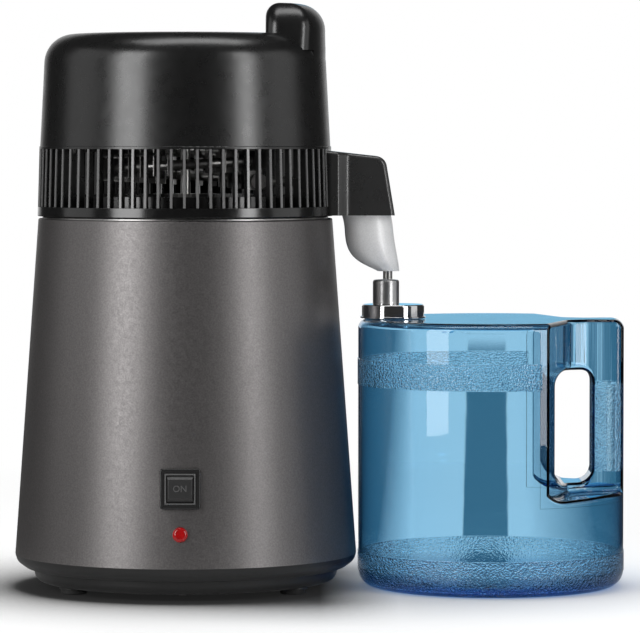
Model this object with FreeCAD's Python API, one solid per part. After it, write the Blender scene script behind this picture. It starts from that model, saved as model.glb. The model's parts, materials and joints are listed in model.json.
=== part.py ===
import FreeCAD, Part
import math
import os

# Countertop water distiller. Millimetres, +Z up. The front faces -Y.
# The spout and the jug are on the +X side.
# Pieces are drawn about the boiler's own axis. The finished part's origin is the middle of its footprint.

V = FreeCAD.Vector
X_AXIS = V(1, 0, 0)
Y_AXIS = V(0, 1, 0)
Z_AXIS = V(0, 0, 1)

# Clearances
BODY_GAP = 0.3
RUNNING_FIT = 0.05
HOLE_PLAY = 0.25

# Outer shell: a cone of painted sheet steel with an inward lip on top
SHELL_FOOT_R = 111.0
SHELL_TOP_R = 95.4
SHELL_FOOT_Z = 21.9
SHELL_TOP_Z = 239.3
SHELL_SHEET = 0.8
SHELL_LIP = 4.6
SHELL_EDGE = 1.0

# Base: trim ring, pan, feet
TRIM_FOOT_Z = 13.1
TRIM_FOOT_R = SHELL_FOOT_R - 7.0
TRIM_FOOT_ROUND = 4.0
TRIM_BEND_R = SHELL_FOOT_R - 1.2
TRIM_BEND_Z = 17.4
TRIM_BEND_ROUND = 6.0
TRIM_LIP_H = 8.0
TRIM_LIP_T = 2.0
PAN_FOOT_Z = 4.0
PAN_RIM_R = SHELL_FOOT_R - 12.0
PAN_FOOT_R = PAN_RIM_R - 1.2
PAN_RIM_Z = 20.0
PAN_WALL = 2.4
PAN_ROUND = 6.0
FOOT_X = 70.0
FOOT_Y = 50.0
FOOT_R = 8.3
FOOT_H = 3.2
FOOT_EDGE = 1.0
FOOT_RECESS_R = 4.2
FOOT_RECESS_H = 1.9
FOOT_SCREW_R = 1.6
FOOT_SCREW_HEAD_R = 3.6
FOOT_SCREW_HEAD_H = 1.3
FOOT_SCREW_L = 12.0
FOOT_BOSS_R = 9.4
FOOT_BOSS_TOP_Z = 14.5
PAN_POST_R = 4.5
PAN_SLOT_COUNT = 7
PAN_SLOT_L = 36.0
PAN_SLOT_W = 3.0
PAN_SLOT_STEP = 8.0

# Boiling tank and what hangs under it
TANK_R = SHELL_TOP_R - 6.9
TANK_FLOOR_Z = 78.0
TANK_ROUND = 15.0
TANK_SHEET = 0.8
TANK_RIM_INSET = 2.6
HEATER_R = 62.0
HEATER_T = 8.0
ELEMENT_RING_R = 46.0
ELEMENT_R = 4.0
ELEMENT_SWEEP = 320.0
ELEMENT_LEG = 8.0
ELEMENT_BEND_R = 6.0
ELEMENT_PIN_R = 1.6
ELEMENT_PIN_L = 7.0
CUTOUT_X = 13.0
CUTOUT_R = 8.0
CUTOUT_H = 8.0
CLAMP_L = 48.0
CLAMP_W = 12.0
CLAMP_T = 1.0
CLAMP_SCREW_R = 1.9
CLAMP_SCREW_BITE = 5.0
CLAMP_SCREW_HEAD_R = 3.6
CLAMP_SCREW_HEAD_H = 2.5
STUD_COUNT = 3
STUD_CIRCLE_R = 68.0
STUD_R = 2.0
STUD_END_Z = 1.2
NUT_ACROSS_FLATS = 7.0
NUT_H = 2.6

# Switch and lamp on the front
SWITCH_Z = 72.0
BEZEL_SIZE = 25.4
BEZEL_T = 2.2
BEZEL_EDGE = 0.9
BEZEL_CORNER = 1.6
BEZEL_RIM = 19.2
BEZEL_RIM_H = 1.0
BEZEL_DEPTH = 6.0
BEZEL_SLEEVE = 20.6
BUTTON_OPENING = 17.4
BUTTON_FACE_W = 15.0
BUTTON_FACE_H = 11.7
BUTTON_PROUD = 1.4
BUTTON_SLOPE_H = 2.4
BUTTON_SHANK = 3.0
PLUNGER_R = 2.4
PLUNGER_L = 3.0
HOUSING_DEPTH = 9.0
HOUSING_POCKET = 12.0
HOUSING_FLOOR = 3.0
SPRING_R = 4.2
SPRING_WIRE_R = 0.4
SPRING_TURNS = 5
TAB_W = 4.8
TAB_T = 0.8
TAB_L = 8.0
TAB_SPREAD = 5.5
TAB_DROP = 4.0
LAMP_Z = 43.5
LENS_R = 4.85
LENS_H = 2.8
LENS_ROUND = 2.6
LENS_STEM_R = 3.8
LENS_STEM_L = 5.0
LAMP_R = 5.2
LAMP_L = 14.0
LAMP_SET_BACK = 1.2

# Mains inlet and fan outlet on the back
SOCKET_SINK = 8.0
INLET_Z = 62.0
INLET_FLANGE_W = 50.0
INLET_FLANGE_H = 22.4
INLET_FLANGE_T = 1.6
INLET_BODY_W = 28.0
INLET_BODY_H = 20.0
INLET_DEPTH = 20.0
INLET_WELL_W = 24.6
INLET_WELL_H = 16.6
INLET_WELL_DEPTH = 17.0
INLET_WELL_BEVEL = 4.5
INLET_SCREW_X = 20.0
INLET_SCREW_R = 1.6
INLET_SCREW_HEAD_R = 3.1
INLET_SCREW_L = 9.0
INLET_PIN_W = 2.0
INLET_PIN_H = 4.0
INLET_PIN_SPREAD = 7.0
INLET_PIN_OFFSET = 2.0
INLET_PIN_L = 11.0
INLET_TAB_L = 7.0
OUTLET_Z = 118.0
OUTLET_FLANGE_W = 28.0
OUTLET_FLANGE_H = 20.0
OUTLET_BODY_W = 22.0
OUTLET_BODY_H = 14.0
OUTLET_TANK_GAP = 3.75
OUTLET_SLOT_W = 2.0
OUTLET_SLOT_H = 7.0
OUTLET_SLOT_X = 5.0
OUTLET_FLOOR_T = 3.8
OUTLET_FLANGE_T = 1.8

# Vent ring of the head
RING_FOOT_Z = 240.8
RING_FOOT_R = SHELL_TOP_R + 0.5
RING_TOP_Z = 286.0
RING_TOP_R = RING_FOOT_R - 1.3
RING_BAND_TOP_Z = 247.0
RING_SLOT_TOP_Z = 284.3
RING_LEDGE_R = TANK_R - 8.0
RING_WALL_R = TANK_R - 5.0
RING_WALL_T = 2.5
RING_WALL_TOP_Z = 254.0
FIN_COUNT = 72
FIN_T = 1.6
FIN_PHASE = 1.5
FIN_DEPTH = 4.1
FIN_INNER_R = RING_TOP_R - FIN_DEPTH
COVER_LIP_H = 3.5
COVER_LIP_T = 2.4

# Lid of the tank, carried by the head
SEAL_INNER_R = TANK_R + 0.7
SEAL_OUTER_R = TANK_R + 4.1
SEAL_H = 2.0
LID_SHEET = 0.8
LID_RIM_R = TANK_R + 3.0
LID_SKIRT_R = TANK_R - 0.7
LID_SKIRT_FOOT_Z = 234.0
LID_CROWN = 8.0
LID_FLAT_R = TANK_R - 9.0
LID_CROWN_R = 40.0
LID_SCREW_COUNT = 6
LID_SCREW_ANGLE = 30.0
LID_SCREW_CIRCLE_R = TANK_R - 4.5
LID_SCREW_R = 1.4
LID_SCREW_HEAD_R = 2.5
LID_SCREW_HEAD_H = 1.4
LID_SCREW_BITE = 3.2

# Condenser
COIL_R = 48.0
COIL_TUBE_R = 3.2
COIL_PITCH = 15.0
COIL_TURNS = 2
COIL_FOOT_Z = 263.0
COIL_FINS_PER_TURN = 36
COIL_FIN_W = 13.0
COIL_FIN_T = 0.6
COIL_FIN_PLAY = 0.15
UNION_R = 5.0
UNION_L = 8.0
OUTLET_TURN = 20.0
RISER_NUT_AF = 15.0
RISER_NUT_H = 4.0
RISER_BELOW_LID = 5.0

# Head cover with its handle
COVER_WALL = 2.6
COVER_FOOT_R = RING_TOP_R - 0.5
COVER_SIDE_R = COVER_FOOT_R - 2.8
COVER_TOP_Z = 358.3
COVER_SHOULDER = 19.0
COVER_RIM_W = 30.3
COVER_WELL_R = COVER_SIDE_R - COVER_RIM_W
COVER_WELL_EDGE = 2.2
GUARD_SEAT_Z = COVER_TOP_Z - 8.3
GUARD_SEAT_W = 5.0
HANDLE_TOP_Z = COVER_TOP_Z + 20.7
HANDLE_DIP = 1.8
HANDLE_INNER_X = COVER_WELL_R - 8.4
HANDLE_ROOT_R = COVER_WELL_R - 25.0
HANDLE_OUTER_R = COVER_SIDE_R - 0.3
HANDLE_EDGE = 9.0
HANDLE_LIP_H = 19.0
HANDLE_OUTER_ROUND = 17.0
HANDLE_HALF_Y = 45.0
HANDLE_END_ROUND = 20.0
HANDLE_SECTOR = 102.0
GRIP_HALF_Y = 29.0
GRIP_TOP_Z = HANDLE_TOP_Z - 11.0
GRIP_ROUND = 6.0
GRIP_OUTER_R = HANDLE_OUTER_R - 3.0
GRIP_OUTER_ROUND = 12.0
COVER_BOSS_R = 5.0
COVER_BOSS_INSET = 4.6
COVER_BOSS_H = 14.0
COVER_SCREW_COUNT = 4
COVER_SCREW_ANGLE = 45.0
COVER_SCREW_R = 1.4
COVER_SCREW_HEAD_R = 2.8
COVER_SCREW_HEAD_H = 2.2
COVER_SCREW_L = 11.0
HEAD_INLET_Z = 312.0
HEAD_INLET_FLANGE_W = 26.0
HEAD_INLET_FLANGE_H = 16.0
HEAD_INLET_FLANGE_T = 1.6
HEAD_INLET_BODY_W = 20.0
HEAD_INLET_BODY_H = 11.0
HEAD_INLET_DEPTH = 12.0
HEAD_INLET_WELL_W = 15.0
HEAD_INLET_WELL_H = 7.5
HEAD_INLET_WELL_DEPTH = 9.0
HEAD_PIN_R = 1.1
HEAD_PIN_X = 3.8
HEAD_PIN_L = 4.5

# Fan
BRACKET_Z = 303.0
BRACKET_T = 2.4
BRACKET_HUB_R = 25.0
BRACKET_ARM_W = 12.0
BRACKET_ARMS = 3
BRACKET_ANGLE = 30.0
MOTOR_R = 21.0
MOTOR_H = 19.0
MOTOR_BOSS_R = 6.0
MOTOR_BOSS_H = 2.0
SHAFT_R = 2.0
SHAFT_BITE = 6.0
HUB_R = 17.0
HUB_H = 16.0
HUB_GAP = 2.5
HUB_EDGE = 2.5
BLADE_COUNT = 7
BLADE_T = 1.6
BLADE_TIP_R = COVER_WELL_R - 7.0
BLADE_ROOT_CHORD = 19.0
BLADE_TIP_CHORD = 28.0
BLADE_ROOT_PITCH = 48.0
BLADE_TIP_PITCH = 24.0
GUARD_T = 2.2
GUARD_BAR = 1.6
GUARD_RINGS = 6
GUARD_HUB_R = 9.0
GUARD_RING_STEP = (COVER_WELL_R - GUARD_HUB_R - 7.6) / GUARD_RINGS
GUARD_SPOKES = 8
GUARD_RIM_W = 3.0

# Where the jug stands beside the boiler, and the water's way down into it
JUG_R = 86.3
BAND_PROUD = 0.4
JUG_STANDOFF = 0.9
SPOUT_REACH = 12.0
JUG_NEAR_X = max(SHELL_FOOT_R, SHELL_TOP_R + SPOUT_REACH) + JUG_STANDOFF
JUG_X = JUG_NEAR_X + BAND_PROUD + JUG_R
CAP_INSET = 23.0
CAP_X = JUG_NEAR_X + CAP_INSET
COLLAR_X = CAP_X - 4.6
TIP_X = COLLAR_X + 1.1

# Spout
SPOUT_ROOT_X = RING_FOOT_R - 35.9
SPOUT_ROOT_TOP_Z = 286.8
SPOUT_NOSE_X = TIP_X - 1.8
SPOUT_NOSE_Z = 279.0
SPOUT_NOSE_ROUND = 7.5
SPOUT_END_X = TIP_X + 4.4
SPOUT_FOOT_Z = 241.3
SPOUT_HALF_Y = 19.0
SPOUT_ROOT_HALF_Y = 25.0
SPOUT_NECK_X = RING_FOOT_R + 9.0
SPOUT_NECK_RUN = 5.5
SPOUT_NECK_ROUND = 6.0
SPOUT_ROOT_ROUND = 3.0
SPOUT_WALL = 2.4
SPOUT_EDGE = 3.0
SPOUT_SEAT_T = 3.6
OUTLET_TUBE_Z = 263.0
OUTLET_TUBE_X = TIP_X - 12.4
OUTLET_TUBE_END_Z = 248.0
BASKET_R = 9.3
BASKET_WALL = 0.8
BASKET_FOOT_Z = 222.0
BASKET_RIM = 2.2
DRAIN_R = 0.8
DRAIN_CIRCLE_R = 5.0
DRAIN_COUNT = 6
POD_H = 13.0
POD_PLAY = 0.3
SHROUD_WALL = 1.6
SHROUD_FOOT_Z = 204.9
SHROUD_FLOOR_T = 2.0
# the shroud's oval sections from the top down: height, middle X, half width and half depth
SHROUD_OVALS = [
    (SPOUT_FOOT_Z, TIP_X - 13.9, 15.9, 13.6),
    (230.5, TIP_X - 12.1, 15.8, 13.2),
    (220.0, TIP_X - 10.4, 15.6, 12.6),
    (213.5, TIP_X - 7.6, 14.0, 11.2),
    (208.5, TIP_X - 3.4, 10.6, 9.2),
    (SHROUD_FOOT_Z, TIP_X + 0.5, 7.1, 7.0),
]
TIP_R = 3.05
TIP_BORE_R = 2.2
TIP_FLANGE_R = 4.6
TIP_FLANGE_T = 1.2

# Jug, about its own upright axis
JUG_TOP_Z = 174.0
JUG_WALL = 2.0
JUG_SHOULDER = 6.0
JUG_HEEL = 11.0
JUG_EDGE = 3.0
JUG_REST_R = 72.0
JUG_PUSH_UP = 2.5
LOW_BAND_FOOT_Z = 11.0
LOW_BAND_TOP_Z = 23.4
HIGH_BAND_FOOT_Z = 131.6
HIGH_BAND_TOP_Z = 148.5
RECESS_X = 31.0
RECESS_FLOOR_Z = 60.5
RECESS_END_Z = 64.5
RECESS_ROUND = 12.0
GAP_INNER_X = 38.0
GAP_OUTER_X = 65.2
GAP_FOOT_Z = 68.4
GAP_TOP_Z = 141.4
GAP_FOOT_ROUND = 10.0
GAP_TOP_ROUND = 8.0
ARM_NECK_X = 50.0
ARM_NECK_Y = 21.0
ARM_NECK_ROUND = 9.0
GRIP_WAIST_X = 63.0
GRIP_WAIST_Y = 15.5
GRIP_WAIST_ROUND = 9.0
GRIP_FRONT_X = 72.0
GRIP_FRONT_Y = 18.0
GRIP_FRONT_ROUND = 12.0
GRIP_BACK_X = 87.5
GRIP_BACK_ROUND = 9.0
FLUTE_R = 5.0
FLUTE_DEPTH = 0.9
FLUTE_FOOT_Z = 76.0
FLUTE_TOP_Z = 132.0
NECK_R = 18.2
NECK_WALL = 2.0
JOIN_X = RECESS_X - JUG_WALL - 1.2
JOIN_Z = RECESS_FLOOR_Z - JUG_WALL - 1.5

# Cap with its collar
CAP_R = 20.2
CAP_FLANGE_R = 21.2
CAP_FLANGE_T = 1.3
CAP_TOP_Z = 183.3
CAP_TOP_T = 1.2
CAP_EDGE = 1.0
CAP_SKIRT_GAP = 0.4
CAP_PLAY = 0.35
GASKET_T = 0.8
GASKET_INNER_R = 14.5
COLLAR_R = 8.55
COLLAR_BORE_R = 6.0
COLLAR_SPIGOT_R = 7.0
COLLAR_FOOT_Z = 172.0
COLLAR_TOP_Z = 199.3
COLLAR_EDGE = 1.5
DRIP_GAP = 0.4

FAR = 400.0


# Outlines and simple forms

def wire(corners, place):
    """A closed wire with straight sides, whose corners (a, b, radius) are rounded by tangent arcs."""
    starts = []
    ends = []
    edges = []
    for i, (a, b, radius) in enumerate(corners):
        corner = V(a, b, 0)
        before = V(corners[i - 1][0], corners[i - 1][1], 0) - corner
        after = V(corners[(i + 1) % len(corners)][0], corners[(i + 1) % len(corners)][1], 0) - corner
        before.normalize()
        after.normalize()
        half = before.getAngle(after) / 2
        reach = radius / math.tan(half) if radius else 0
        starts.append(corner + before * reach)
        ends.append(corner + after * reach)
        if radius:
            inward = before + after
            inward.normalize()
            middle = corner + inward * (radius / math.sin(half) - radius)
            edges.append(Part.Arc(place(starts[i]), place(middle), place(ends[i])).toShape())
        if i and (starts[i] - ends[i - 1]).Length > 1e-6:
            edges.append(Part.LineSegment(place(ends[i - 1]), place(starts[i])).toShape())
    if (starts[0] - ends[-1]).Length > 1e-6:
        edges.append(Part.LineSegment(place(ends[-1]), place(starts[0])).toShape())
    return Part.Wire(Part.__sortEdges__(edges))


def turned(corners):
    """A solid of revolution about Z from (radius, height, rounding) corners."""
    face = Part.Face(wire(corners, lambda p: V(p.x, 0, p.y)))
    return face.revolve(V(0, 0, 0), Z_AXIS, 360)


def slab_xz(corners, y0, y1):
    face = Part.Face(wire(corners, lambda p: V(p.x, y0, p.y)))
    return face.extrude(V(0, y1 - y0, 0))


def slab_yz(corners, x0, x1):
    face = Part.Face(wire(corners, lambda p: V(x0, p.x, p.y)))
    return face.extrude(V(x1 - x0, 0, 0))


def slab_xy(corners, z0, z1):
    face = Part.Face(wire(corners, lambda p: V(p.x, p.y, z0)))
    return face.extrude(V(0, 0, z1 - z0))


def oblong(width, height, z0, z1, radius=0.0):
    """An upright block about the local Z axis."""
    w = width / 2
    h = height / 2
    return slab_xy([(-w, -h, radius), (w, -h, radius), (w, h, radius), (-w, h, radius)], z0, z1)


def rod(radius, z0, z1, x=0.0, y=0.0):
    return Part.makeCylinder(radius, z1 - z0, V(x, y, z0), Z_AXIS)


def bar(radius, start, end):
    """A round bar between two points."""
    run = end - start
    return Part.makeCylinder(radius, run.Length, start, run)


def ring(outer_r, inner_r, z0, z1, x=0.0, y=0.0):
    return rod(outer_r, z0, z1, x, y).cut(rod(inner_r, z0, z1, x, y))


def hexagon(across_flats, z0, z1, bore_r):
    corner_r = across_flats / math.sqrt(3)
    angles = [math.radians(60 * k) for k in range(6)]
    points = [(corner_r * math.cos(a), corner_r * math.sin(a), 0) for a in angles]
    return slab_xy(points, z0, z1).cut(rod(bore_r, z0, z1))


def moved(shape, x=0.0, y=0.0, z=0.0):
    copy = shape.copy()
    copy.translate(V(x, y, z))
    return copy


def swung(shape, degrees, axis=Z_AXIS):
    copy = shape.copy()
    copy.rotate(V(0, 0, 0), axis, degrees)
    return copy


def around(shape, count, first=0.0):
    """Equal copies of a shape round the Z axis."""
    return [swung(shape, first + 360 * k / count) for k in range(count)]


def level_edges(shape, z):
    """The edges of a shape that lie wholly at one height."""
    box_of = [(edge, edge.BoundBox) for edge in shape.Edges]
    return [edge for edge, b in box_of if abs(b.ZMin - z) < 1e-4 and abs(b.ZMax - z) < 1e-4]


def sharp_edges(shape, keep):
    """The edges at which two faces meet at a clear angle, where keep(box) is true for the edge's box."""
    found = []
    for edge in shape.Edges:
        faces = [face for face in shape.Faces if any(edge.isSame(e) for e in face.Edges)]
        if len(faces) == 2 and keep(edge.BoundBox):
            point = edge.valueAt((edge.FirstParameter + edge.LastParameter) / 2)
            normals = [face.normalAt(*face.Surface.parameter(point)) for face in faces]
            if math.degrees(normals[0].getAngle(normals[1])) > 20:
                found.append(edge)
    return found


def taper(low_z, low_r, high_z, high_r):
    """The radius of a cone at any height, as a function."""
    return lambda z: low_r + (high_r - low_r) * (z - low_z) / (high_z - low_z)


shell_r = taper(SHELL_FOOT_Z, SHELL_FOOT_R, SHELL_TOP_Z, SHELL_TOP_R)
ring_r = taper(RING_FOOT_Z, RING_FOOT_R, RING_TOP_Z, RING_TOP_R)
COVER_SIDE_Z = COVER_TOP_Z - COVER_SHOULDER
cover_r = taper(RING_TOP_Z, COVER_FOOT_R, COVER_SIDE_Z, COVER_SIDE_R)
SHELL_LEAN = math.degrees(math.atan2(SHELL_FOOT_R - SHELL_TOP_R, SHELL_TOP_Z - SHELL_FOOT_Z))
COVER_LEAN = math.degrees(math.atan2(COVER_FOOT_R - COVER_SIDE_R, COVER_SIDE_Z - RING_TOP_Z))
OUTLET_DEPTH = shell_r(OUTLET_Z) - TANK_R - TANK_SHEET - OUTLET_TANK_GAP
OUTLET_SLOT_DEPTH = OUTLET_FLANGE_T + OUTLET_DEPTH - OUTLET_FLOOR_T


def on_front(shape, z):
    """Stand a piece that faces local +Z on the front of the shell, square to its wall."""
    return moved(swung(shape, 90 - SHELL_LEAN, X_AXIS), y=-shell_r(z), z=z)


def on_back(shape, z, radius, lean):
    """Stand a piece that faces local +Z on the back of a conical wall."""
    return swung(moved(swung(shape, 90 - lean, X_AXIS), y=-radius, z=z), 180)


# Base

def outer_shell():
    wall = turned([
        (SHELL_FOOT_R, SHELL_FOOT_Z, 0),
        (SHELL_TOP_R, SHELL_TOP_Z, SHELL_EDGE),
        (SHELL_TOP_R - SHELL_LIP, SHELL_TOP_Z, 0),
        (SHELL_TOP_R - SHELL_LIP, SHELL_TOP_Z - SHELL_SHEET, 0),
        (SHELL_TOP_R - SHELL_SHEET, SHELL_TOP_Z - SHELL_SHEET, 0),
        (SHELL_FOOT_R - SHELL_SHEET, SHELL_FOOT_Z, 0),
    ])
    deep = SHELL_SHEET * 6
    sleeve = BEZEL_SLEEVE + 2 * HOLE_PLAY
    openings = [
        on_front(oblong(sleeve, sleeve, -deep, deep), SWITCH_Z),
        on_front(rod(LENS_STEM_R + HOLE_PLAY, -deep, deep), LAMP_Z),
        back_opening(INLET_BODY_W, INLET_BODY_H, INLET_Z),
        back_opening(OUTLET_BODY_W, OUTLET_BODY_H, OUTLET_Z),
    ]
    for side in (-1, 1):
        hole = rod(INLET_SCREW_R + HOLE_PLAY, -deep, deep, x=side * INLET_SCREW_X)
        openings.append(on_back(hole, INLET_Z, shell_r(INLET_Z), SHELL_LEAN))
    return wall.cut(openings)


def back_opening(width, height, z):
    """A rectangular hole through the back of the shell, with play round the socket that it takes."""
    block = oblong(width + 2 * HOLE_PLAY, height + 2 * HOLE_PLAY, -SOCKET_SINK, SOCKET_SINK)
    return on_back(block, z, shell_r(z), SHELL_LEAN)


def base_trim_ring():
    lip_r = shell_r(SHELL_FOOT_Z + TRIM_LIP_H) - SHELL_SHEET - 0.4
    inner_r = lip_r - TRIM_LIP_T
    return turned([
        (PAN_RIM_R, TRIM_FOOT_Z, 0),
        (TRIM_FOOT_R, TRIM_FOOT_Z, TRIM_FOOT_ROUND),
        (TRIM_BEND_R, TRIM_BEND_Z, TRIM_BEND_ROUND),
        (SHELL_FOOT_R, SHELL_FOOT_Z, 0),
        (lip_r, SHELL_FOOT_Z, 0),
        (lip_r, SHELL_FOOT_Z + TRIM_LIP_H, 0.6),
        (inner_r, SHELL_FOOT_Z + TRIM_LIP_H, 0.6),
        (inner_r, SHELL_FOOT_Z + 1, 1),
        (PAN_RIM_R, PAN_RIM_Z - 2.5, 0),
    ])


def foot_places():
    return [(sx * FOOT_X, sy * FOOT_Y) for sx in (-1, 1) for sy in (-1, 1)]


def stud_places():
    angles = [math.radians(90 + 360 * (k + 0.5) / STUD_COUNT) for k in range(STUD_COUNT)]
    return [(STUD_CIRCLE_R * math.cos(a), STUD_CIRCLE_R * math.sin(a)) for a in angles]


def base_pan():
    floor_top = PAN_FOOT_Z + PAN_WALL
    tray = turned([
        (0, PAN_FOOT_Z, 0),
        (PAN_FOOT_R, PAN_FOOT_Z, PAN_ROUND),
        (PAN_RIM_R, TRIM_FOOT_Z, 0),
        (PAN_RIM_R, PAN_RIM_Z, 0),
        (PAN_RIM_R - PAN_WALL, PAN_RIM_Z, 0),
        (PAN_RIM_R - PAN_WALL, TRIM_FOOT_Z, 0),
        (PAN_FOOT_R - PAN_WALL, floor_top, PAN_ROUND - PAN_WALL),
        (0, floor_top, 0),
    ])
    bosses = []
    holes = []
    for x, y in foot_places():
        bosses.append(rod(FOOT_BOSS_R, FOOT_H, floor_top, x, y))
        bosses.append(rod(PAN_POST_R, floor_top, FOOT_BOSS_TOP_Z, x, y))
        holes.append(rod(FOOT_SCREW_R, FOOT_H, FOOT_RECESS_H + FOOT_SCREW_L, x, y))
    for x, y in stud_places():
        holes.append(rod(STUD_R + HOLE_PLAY, PAN_FOOT_Z, floor_top, x, y))
    # a row of cooling slots in the middle of the floor
    slot = oblong(PAN_SLOT_L, PAN_SLOT_W, PAN_FOOT_Z, floor_top, PAN_SLOT_W / 2 - 0.01)
    for k in range(PAN_SLOT_COUNT):
        holes.append(moved(slot, y=PAN_SLOT_STEP * (k - (PAN_SLOT_COUNT - 1) / 2)))
    return tray.multiFuse(bosses).removeSplitter().cut(holes)


def foot():
    return turned([
        (FOOT_SCREW_R, FOOT_RECESS_H, 0),
        (FOOT_RECESS_R, FOOT_RECESS_H, 0),
        (FOOT_RECESS_R, 0, 0),
        (FOOT_R, 0, FOOT_EDGE),
        (FOOT_R, FOOT_H, 0),
        (FOOT_SCREW_R, FOOT_H, 0),
    ])


def feet():
    return Part.makeCompound([moved(foot(), x, y) for x, y in foot_places()])


def foot_screws():
    head = rod(FOOT_SCREW_HEAD_R, FOOT_RECESS_H - FOOT_SCREW_HEAD_H, FOOT_RECESS_H)
    screw = head.fuse(rod(FOOT_SCREW_R, FOOT_RECESS_H, FOOT_RECESS_H + FOOT_SCREW_L))
    return Part.makeCompound([moved(screw, x, y) for x, y in foot_places()])


def base_studs():
    bottom_z = TANK_FLOOR_Z - TANK_SHEET
    return Part.makeCompound([rod(STUD_R, STUD_END_Z, bottom_z, x, y) for x, y in stud_places()])


def base_nuts():
    nut = hexagon(NUT_ACROSS_FLATS, PAN_FOOT_Z - NUT_H, PAN_FOOT_Z, STUD_R)
    return Part.makeCompound([moved(nut, x, y) for x, y in stud_places()])


# Tank and heater

def boiler_tank():
    return turned([
        (0, TANK_FLOOR_Z - TANK_SHEET, 0),
        (TANK_R + TANK_SHEET, TANK_FLOOR_Z - TANK_SHEET, TANK_ROUND + TANK_SHEET),
        (TANK_R + TANK_SHEET, SHELL_TOP_Z, 0),
        (SHELL_TOP_R - TANK_RIM_INSET, SHELL_TOP_Z, 0),
        (SHELL_TOP_R - TANK_RIM_INSET, SHELL_TOP_Z + TANK_SHEET, 0),
        (TANK_R, SHELL_TOP_Z + TANK_SHEET, 0),
        (TANK_R, TANK_FLOOR_Z, TANK_ROUND),
        (0, TANK_FLOOR_Z, 0),
    ])


HEATER_TOP_Z = TANK_FLOOR_Z - TANK_SHEET
HEATER_FOOT_Z = HEATER_TOP_Z - HEATER_T


def heating_element():
    """A ring tube with both ends bent down to their pins, open at the back."""
    r = ELEMENT_RING_R
    b = ELEMENT_BEND_R
    foot = -b - ELEMENT_LEG
    curve = b * (1 - math.cos(math.pi / 4))
    start_leg = Part.LineSegment(V(r, -b, foot), V(r, -b, -b)).toShape()
    start_bend = Part.Arc(V(r, -b, -b), V(r, curve - b, -curve), V(r, 0, 0)).toShape()
    half = math.radians(ELEMENT_SWEEP / 2)
    far = math.radians(ELEMENT_SWEEP)
    around_ring = Part.Arc(V(r, 0, 0), V(r * math.cos(half), r * math.sin(half), 0),
                           V(r * math.cos(far), r * math.sin(far), 0)).toShape()
    end_bend = swung(Part.Arc(V(r, 0, 0), V(r, b - curve, -curve), V(r, b, -b)).toShape(), ELEMENT_SWEEP)
    end_leg = swung(Part.LineSegment(V(r, b, -b), V(r, b, foot)).toShape(), ELEMENT_SWEEP)
    path = Part.Wire([start_leg, start_bend, around_ring, end_bend, end_leg])
    section = Part.Wire(Part.makeCircle(ELEMENT_R, V(r, -b, foot), Z_AXIS))
    tube = path.makePipeShell([section], True, True)
    pin = rod(ELEMENT_PIN_R, foot - ELEMENT_PIN_L, foot)
    pins = [moved(pin, r, -b), swung(moved(pin, r, b), ELEMENT_SWEEP)]
    first = 90 + (360 - ELEMENT_SWEEP) / 2
    return moved(swung(tube.multiFuse(pins), first), z=HEATER_FOOT_Z)


def heater_plate():
    plate = turned([
        (0, HEATER_FOOT_Z, 0),
        (HEATER_R, HEATER_FOOT_Z, 1.5),
        (HEATER_R, HEATER_TOP_Z, 0),
        (0, HEATER_TOP_Z, 0),
    ])
    screw_hole = rod(CLAMP_SCREW_R, HEATER_FOOT_Z, HEATER_FOOT_Z + CLAMP_SCREW_BITE)
    return plate.cut([heating_element(), screw_hole])


def thermal_cutouts():
    body = turned([
        (0, HEATER_FOOT_Z - CUTOUT_H, 0),
        (CUTOUT_R - 1.5, HEATER_FOOT_Z - CUTOUT_H, 0),
        (CUTOUT_R - 1.5, HEATER_FOOT_Z - 3, 0),
        (CUTOUT_R, HEATER_FOOT_Z - 3, 0),
        (CUTOUT_R, HEATER_FOOT_Z, 0.5),
        (0, HEATER_FOOT_Z, 0),
    ])
    return Part.makeCompound([moved(body, x) for x in (-CUTOUT_X, CUTOUT_X)])


def cutout_clamp():
    top = HEATER_FOOT_Z - CUTOUT_H
    strip = oblong(CLAMP_L, CLAMP_W, top - CLAMP_T, top, 3)
    return strip.cut(rod(CLAMP_SCREW_R, top - CLAMP_T, top))


def clamp_screw():
    seat = HEATER_FOOT_Z - CUTOUT_H - CLAMP_T
    head = rod(CLAMP_SCREW_HEAD_R, seat - CLAMP_SCREW_HEAD_H, seat)
    return head.fuse(rod(CLAMP_SCREW_R, seat, HEATER_FOOT_Z + CLAMP_SCREW_BITE))


# Switch and lamp, drawn facing local +Z with the shell's wall at z = 0

def switch_bezel():
    flange = oblong(BEZEL_SIZE, BEZEL_SIZE, 0, BEZEL_T, BEZEL_CORNER)
    flange = flange.makeFillet(BEZEL_EDGE, level_edges(flange, BEZEL_T))
    rim = oblong(BEZEL_RIM, BEZEL_RIM, BEZEL_T, BEZEL_T + BEZEL_RIM_H, 1.0)
    rim = rim.makeFillet(0.3, level_edges(rim, BEZEL_T + BEZEL_RIM_H))
    sleeve = oblong(BEZEL_SLEEVE, BEZEL_SLEEVE, -BEZEL_DEPTH, 0)
    opening = oblong(BUTTON_OPENING, BUTTON_OPENING, -BEZEL_DEPTH, BEZEL_T + BEZEL_RIM_H, 0.5)
    return on_front(flange.multiFuse([rim, sleeve]).removeSplitter().cut(opening), SWITCH_Z)


def on_button():
    width = BUTTON_OPENING - 2 * BODY_GAP
    face_z = BEZEL_T + BEZEL_RIM_H + BUTTON_PROUD
    shank = oblong(width, width, -BUTTON_SHANK, face_z - BUTTON_SLOPE_H)
    low = oblong_wire(width, width, face_z - BUTTON_SLOPE_H)
    high = oblong_wire(BUTTON_FACE_W, BUTTON_FACE_H, face_z)
    crown = Part.makeLoft([low, high], True, True)
    crown = crown.makeFillet(0.5, level_edges(crown, face_z))
    plunger = rod(PLUNGER_R, -BUTTON_SHANK - PLUNGER_L, -BUTTON_SHANK)
    return on_front(shank.multiFuse([crown, plunger]).removeSplitter(), SWITCH_Z)


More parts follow.
